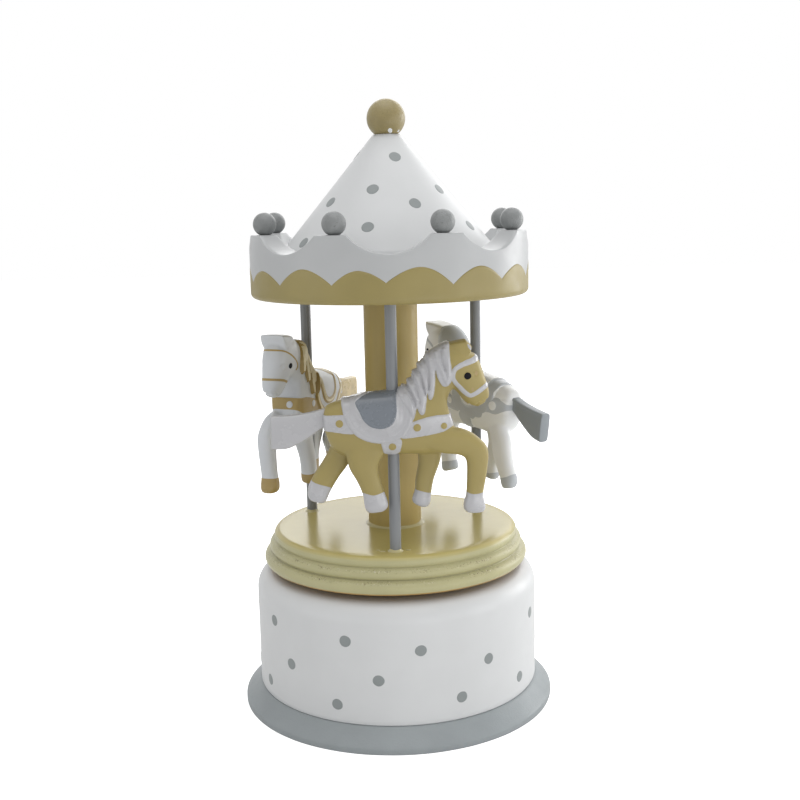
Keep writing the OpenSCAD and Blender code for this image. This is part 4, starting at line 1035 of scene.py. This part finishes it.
def in_ring(verts, side):
    """Puts points of a horse's own frame on its pole, as carelessly as each was glued there."""
    yaw, pitch, rise = HORSE_SET[side]
    x, y, z = (verts[:, k].copy() for k in range(3))
    if side == 0:  # the tip of the forelock is broken off
        tip = np.clip(x - 25, 0, 4) * np.clip((z - 33) / 3, 0, 1)
        x -= 0.35 * tip
        z -= 0.7 * np.clip(tip - 0.4, 0, 4)
    low = np.clip(-z / 10, 0, 1)
    low = low * low * (3 - 2 * low)
    for sign, start, end, *move in LEG_MOVES[side]:
        share = low * ((y * sign > 0) & (verts[:, 0] > start) & (verts[:, 0] < end))
        x, y, z = (c + share * d for c, d in zip((x, y, z), move))
    x, z = turned(x, z, pitch)
    x, y = turned(x, y, yaw)
    x, y = turned(x, y - POLE_CIRCLE, side * HORSE_STEP)
    return np.stack([x, y, z + BELLY_Z + rise], axis=1)


def carve(skin, relief):
    """The skin with its carved relief and a little unevenness, and the normals that paint is laid along."""
    verts, faces, normals = skin
    height = relief(verts[:, [0, 2]])
    uneven = np.array([0.05 * wander(*v, 5.5, 2.2) for v in verts])
    obj = solid("scratch", verts + normals * (height + uneven)[:, None], faces)
    return harvest(obj)


def painted_part(name, carved, outlines, out, side, paint):
    """A coat of paint over the parts of the carved skin that the outlines cover."""
    verts, faces, normals = carved
    body = solid("scratch", verts + normals * out, faces)
    cutter = solid("scratch", *joined([prism(o) for o in outlines]))
    cut = body.modifiers.new("cut", "BOOLEAN")
    cut.operation = "INTERSECT"
    cut.solver = "MANIFOLD"
    cut.object = cutter
    verts, faces, _ = harvest(body, cutter)
    obj = add_piece(name, in_ring(verts, side).tolist(), faces, *paint)
    obj.data.set_sharp_from_angle(angle=math.radians(50))
    return obj


def spot_on(carved, target):
    """Places points round the spot of the carved skin nearest to target, following its roundness."""
    verts, _, normals = carved
    nearest = int(np.argmin(np.linalg.norm(verts - np.array(target), axis=1)))
    middle, out = Vector(verts[nearest]), Vector(normals[nearest])
    across = out.cross(Vector((0, 0, 1))).normalized()
    up = across.cross(out)
    roundness = 5.5
    return lambda u, v, h: middle + across * u + up * v + out * (h - (u * u + 0.3 * v * v) / (2 * roundness))


def make_tail(horse, side, paint, droop, length, root_height, end_height):
    """A flat wedge with rounded edges and a square-cut end."""
    rows = [(0.0, 15.6, 9.2, 1.9), (-2.5, 15.0, 8.2, 2.1), (-6.5, 14.1, 5.4, 2.2), (-11, 13.5, 2.9, 2.2),
            (-14.5, 13.3, 1.7, 2.2), (-18.4, 13.15, 1.7, 2.2), (-19.0, 13.1, 1.8, 2.1), (TAIL_END, 12.8, 2.2, 1.8)]
    sections = [(x, up, x, down, half) for x, up, down, half in rows]
    verts, faces = loft(sections, 0, 48, 5, 0.36)
    verts = np.array(verts)
    height = root_height + (end_height - root_height) * np.clip(verts[:, 0] / TAIL_END, 0, 1)
    x, z = turned(verts[:, 0] * length, (verts[:, 2] - TAIL_ROOT[1]) * height, droop)
    verts = np.stack([x + TAIL_ROOT[0], verts[:, 1], z + TAIL_ROOT[1]], axis=1)
    tail = add_piece(f"horse_{horse}_tail", in_ring(verts, side).tolist(), faces, *paint, [f"tail_{horse}"])
    tail.data.set_sharp_from_angle(angle=math.radians(60))


def common_relief(p, eye=EYE, studs=STUDS, saddle=SADDLE):
    """Straps, cloth, saddle and face, as all three horses have them."""
    h = np.zeros(len(p))
    for outline, height, soft in ((CLOTH, 0.45, 0.6), (REAR_STRAP, 0.28, 0.35), (FRONT_STRAP, 0.28, 0.35),
                                  (GIRTH, 0.4, 0.5)):
        h = np.maximum(h, plate(p, rounded(outline), height, soft))
    h += plate(p, rounded(saddle), 0.3, 0.5)
    for x, z, r in studs:
        h += bump_at(p, x, z, 0.28, r * 1.15)
    h += bump_at(p, *eye, 0.22, 1.5) + bump_at(p, 28.4, 26.8, -0.35, 1.1)
    h += ridge(p, LIPS, -0.45, 0.55)
    return h


def front_relief(p):
    """What is carved on the front horse, with its locks of mane."""
    h = common_relief(p)
    h += ridge(p, SADDLE[2:-1], 0.35, 0.7) + ridge(p, CLOTH_EDGE, 0.3, 0.7) + ridge(p, CLOTH_VALLEY, -0.25, 0.9)
    h += plate(p, rounded(MANE), 0.5, 0.7)
    for line in MANE_STRANDS:
        h += ridge(p, line, 0.5, 0.7)
    for line in MANE_GROOVES:
        h += ridge(p, line, -0.45, 0.5)
    h += ridge(p, BRIDLE, 0.2, 0.9)
    return h


def left_relief(p):
    """What is carved on the left horse, whose saddle has raised borders."""
    h = common_relief(p, LEFT_EYE, LEFT_STUDS) + plate(p, rounded(LEFT_MANE), 1.3, 1.6, 0.25)
    for line in LEFT_STRANDS:
        h += ridge(p, line, 0.5, 0.8)
    for line in MANE_GROOVES:
        h += ridge(p, line, -0.5, 0.6)
    for line in SADDLE_LINES:
        h += ridge(p, line, 0.35, 1.1)
    return h


def right_relief(p):
    """What is carved on the right horse, whose mane is one smooth hood."""
    h = common_relief(p, EYE, RIGHT_STUDS, SADDLE_BACK) + plate(p, rounded(HOOD_MANE), 1.3, 2.0, 0.3)
    h += ridge(p, SADDLE_BACK[1:-1], 0.3, 0.8)
    return h


def make_horses():
    """Three horses from one carved form, each with its own paint."""
    skin = horse_skin()
    eyes = [oval(*EYE, 1.22, seed=3)]
    straps = [rounded(REAR_STRAP, seed=1), rounded(FRONT_STRAP, seed=2), rounded(GIRTH, seed=3)]
    hooves = [rounded(o, seed=4 + i) for i, o in enumerate(HOOVES)]
    right_hooves, left_hooves = ([[(x, z - drop) for x, z in outline] for outline, drop in zip(hooves, drops)]
                                 for drops in (RIGHT_DROPS, LEFT_DROPS))
    # Each horse: its number, relief, body paint, tail (paint, droop, length, heights at root and end), and coats
    # of paint (name, outlines, how far it stands out, paint)
    horses = {
        "front": (0, front_relief, tan, (trim, 0, 1, 1, 1), [
            ("straps", straps + [stroke(BRIDLE, 1.55, seed=5)], 0.04, trim),
            ("brow", [stroke(BROW_BAND, 2.2, seed=6, taper=0.7)], 0.05, trim),
            ("cloth", [rounded(CLOTH, seed=6)], 0.07, trim),
            ("saddle", [rounded(SADDLE, seed=7)], 0.10, saddle_grey),
            ("mane", [rounded(MANE, seed=8)], 0.06, trim),
            ("hooves", hooves, 0.05, trim),
            ("studs", ovals(STUDS), 0.08, tan),
            ("marks", ovals(MARKS), 0.03, worn_tan),
            ("chip", [oval(*CHIP, seed=4)], 0.04, trim),
            ("eyes", eyes, 0.08, black)]),
        # The right horse's white is painted lighter, as painted light, and its tail's grey darker, as painted shade
        "right": (1, right_relief, snow_and_lit_white, (shaded_tail_grey, 6, 0.93, 0.75, 0.95), [
            ("straps", [rounded(REAR_LENS, seed=1), *straps[1:]], 0.04, dusk),
            ("cloth", [scalloped(CLOTH, 5.2, 0.9)], 0.07, dusk),
            ("saddle", [rounded(SADDLE_BACK, seed=7)], 0.10, snow_and_lit_white),
            ("mane", [rounded(HOOD_MANE, seed=8)], 0.06, dusk),
            ("bridle", [stroke(BRIDLE, 1.1, seed=5)], 0.05, dusk),
            ("hooves", right_hooves, 0.05, dusk),
            ("studs", ovals(RIGHT_STUDS), 0.08, snow_and_lit_white),
            ("eyes", eyes, 0.08, black)]),
        # The left horse's white is painted darker, as painted shade
        "left": (2, left_relief, shaded_ivory, (streaked, 0, 1.02, 1, 1), [
            ("straps", straps, 0.04, ochre),
            ("cloth", [rounded(CLOTH, seed=6)], 0.07, shaded_ivory),
            ("lines", strokes(SADDLE_LINES, 2.7), 0.12, ochre),
            # A painted highlight along the crest of each raised saddle line
            ("line_highlights", strokes(SADDLE_LINES, 1.0), 0.16, cream_and_highlight),
            ("mane", [rounded(LEFT_MANE, seed=8)], 0.06, ochre),
            ("strands", strokes(LEFT_STRANDS, 1.15, 0.6), 0.10, cream_and_highlight),
            ("bridle", [stroke(line, width) for line, width in LEFT_BRIDLE], 0.05, ochre),
            ("hooves", left_hooves, 0.05, ochre),
            ("studs", ovals(LEFT_STUDS), 0.08, shaded_ivory),
            ("eyes", [oval(*LEFT_EYE, 1.05, seed=3)], 0.08, black)]),
    }
    for name, (side, relief, hide, tail, paints) in horses.items():
        carved = carve(skin, relief)
        piece = f"horse_{name}"
        add_piece(f"{piece}_body", in_ring(carved[0], side).tolist(), carved[1], *hide, [piece])
        for part, outlines, out, paint in paints:
            painted_part(f"{piece}_{part}", carved, outlines, out, side, paint)
        make_tail(name, side, *tail)
        if name == "left":
            verts, faces = dab(spot_on(carved, CHEST_STUD), 1.35, 1.35, 2.2, thick=0.3)
            add_piece(f"{piece}_chest_stud", in_ring(np.array([tuple(v) for v in verts]), side).tolist(), faces,
                      *shaded_ivory)


make_horses()


# -------- movement

def metal(name, colour, rough, stretch):
    """Plated, blued or turned metal, with fine tool marks and a little tarnish."""
    g = Graph(name)
    tarnish = g.ramp(g.noise(240, 5, 0.6), [(0.35, 0.0), (0.75, 1.0)])
    marks = g.noise(2600, 3, 0.6, stretch)
    return g.finished({
        "Base Color": g.mix(tarnish, colour, shade(colour, 0.78)), "Metallic": 1.0,
        "Roughness": g.ramp(marks, [(0.3, rough * 0.7), (0.7, rough * 1.4)]),
        "Normal": g.bump(marks, 0.3, 0.04 * MM)})


def bare_plywood():
    """Birch plywood with long grain and darker pores."""
    g = Graph("birch plywood")
    grain = g.noise(300, 7, 0.7, (0.12, 1, 1))
    pores = g.ramp(g.noise(1500, 4, 0.6, (0.05, 1, 1)), [(0.62, 0.0), (0.72, 0.6)])
    wood = g.mix(g.ramp(grain, [(0.35, 0.0), (0.7, 1.0)]), (0.60, 0.44, 0.26), (0.46, 0.30, 0.15))
    return g.finished({"Base Color": g.mix(pores, wood, (0.25, 0.15, 0.07)), "Roughness": 0.7,
                       "Normal": g.bump(grain, 0.4, 0.1 * MM)})


def finish_movement():
    """Gives the nodes that keep their CAD shapes what they are made of."""
    steel = metal("zinc plated steel", (0.56, 0.57, 0.58), 0.3, (1, 1, 0.1))
    spring = metal("blued spring steel", (0.09, 0.11, 0.17), 0.28, (1, 1, 0.1))
    brass = metal("turned brass", (0.70, 0.48, 0.18), 0.26, (0.2, 1, 1))
    finishes = {steel: ["cover_screws", "movement_screws", "comb", "comb_screws", "governor_frame", "winding_arbor",
                        "drive_hub", "hub_screws", "spring_housing", "cylinder_arbor"],
                spring: ["mainspring"],
                brass: ["turntable_bush", "bedplate", "crown_wheel", "pinned_cylinder", "cylinder_pinion",
                        "cylinder_gear", "governor_wheel", "fan"],
                bare_plywood(): ["bottom_cover"]}
    for material, nodes in finishes.items():
        for node in nodes:
            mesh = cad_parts[node].data
            mesh.materials.clear()
            mesh.materials.append(material)


finish_movement()
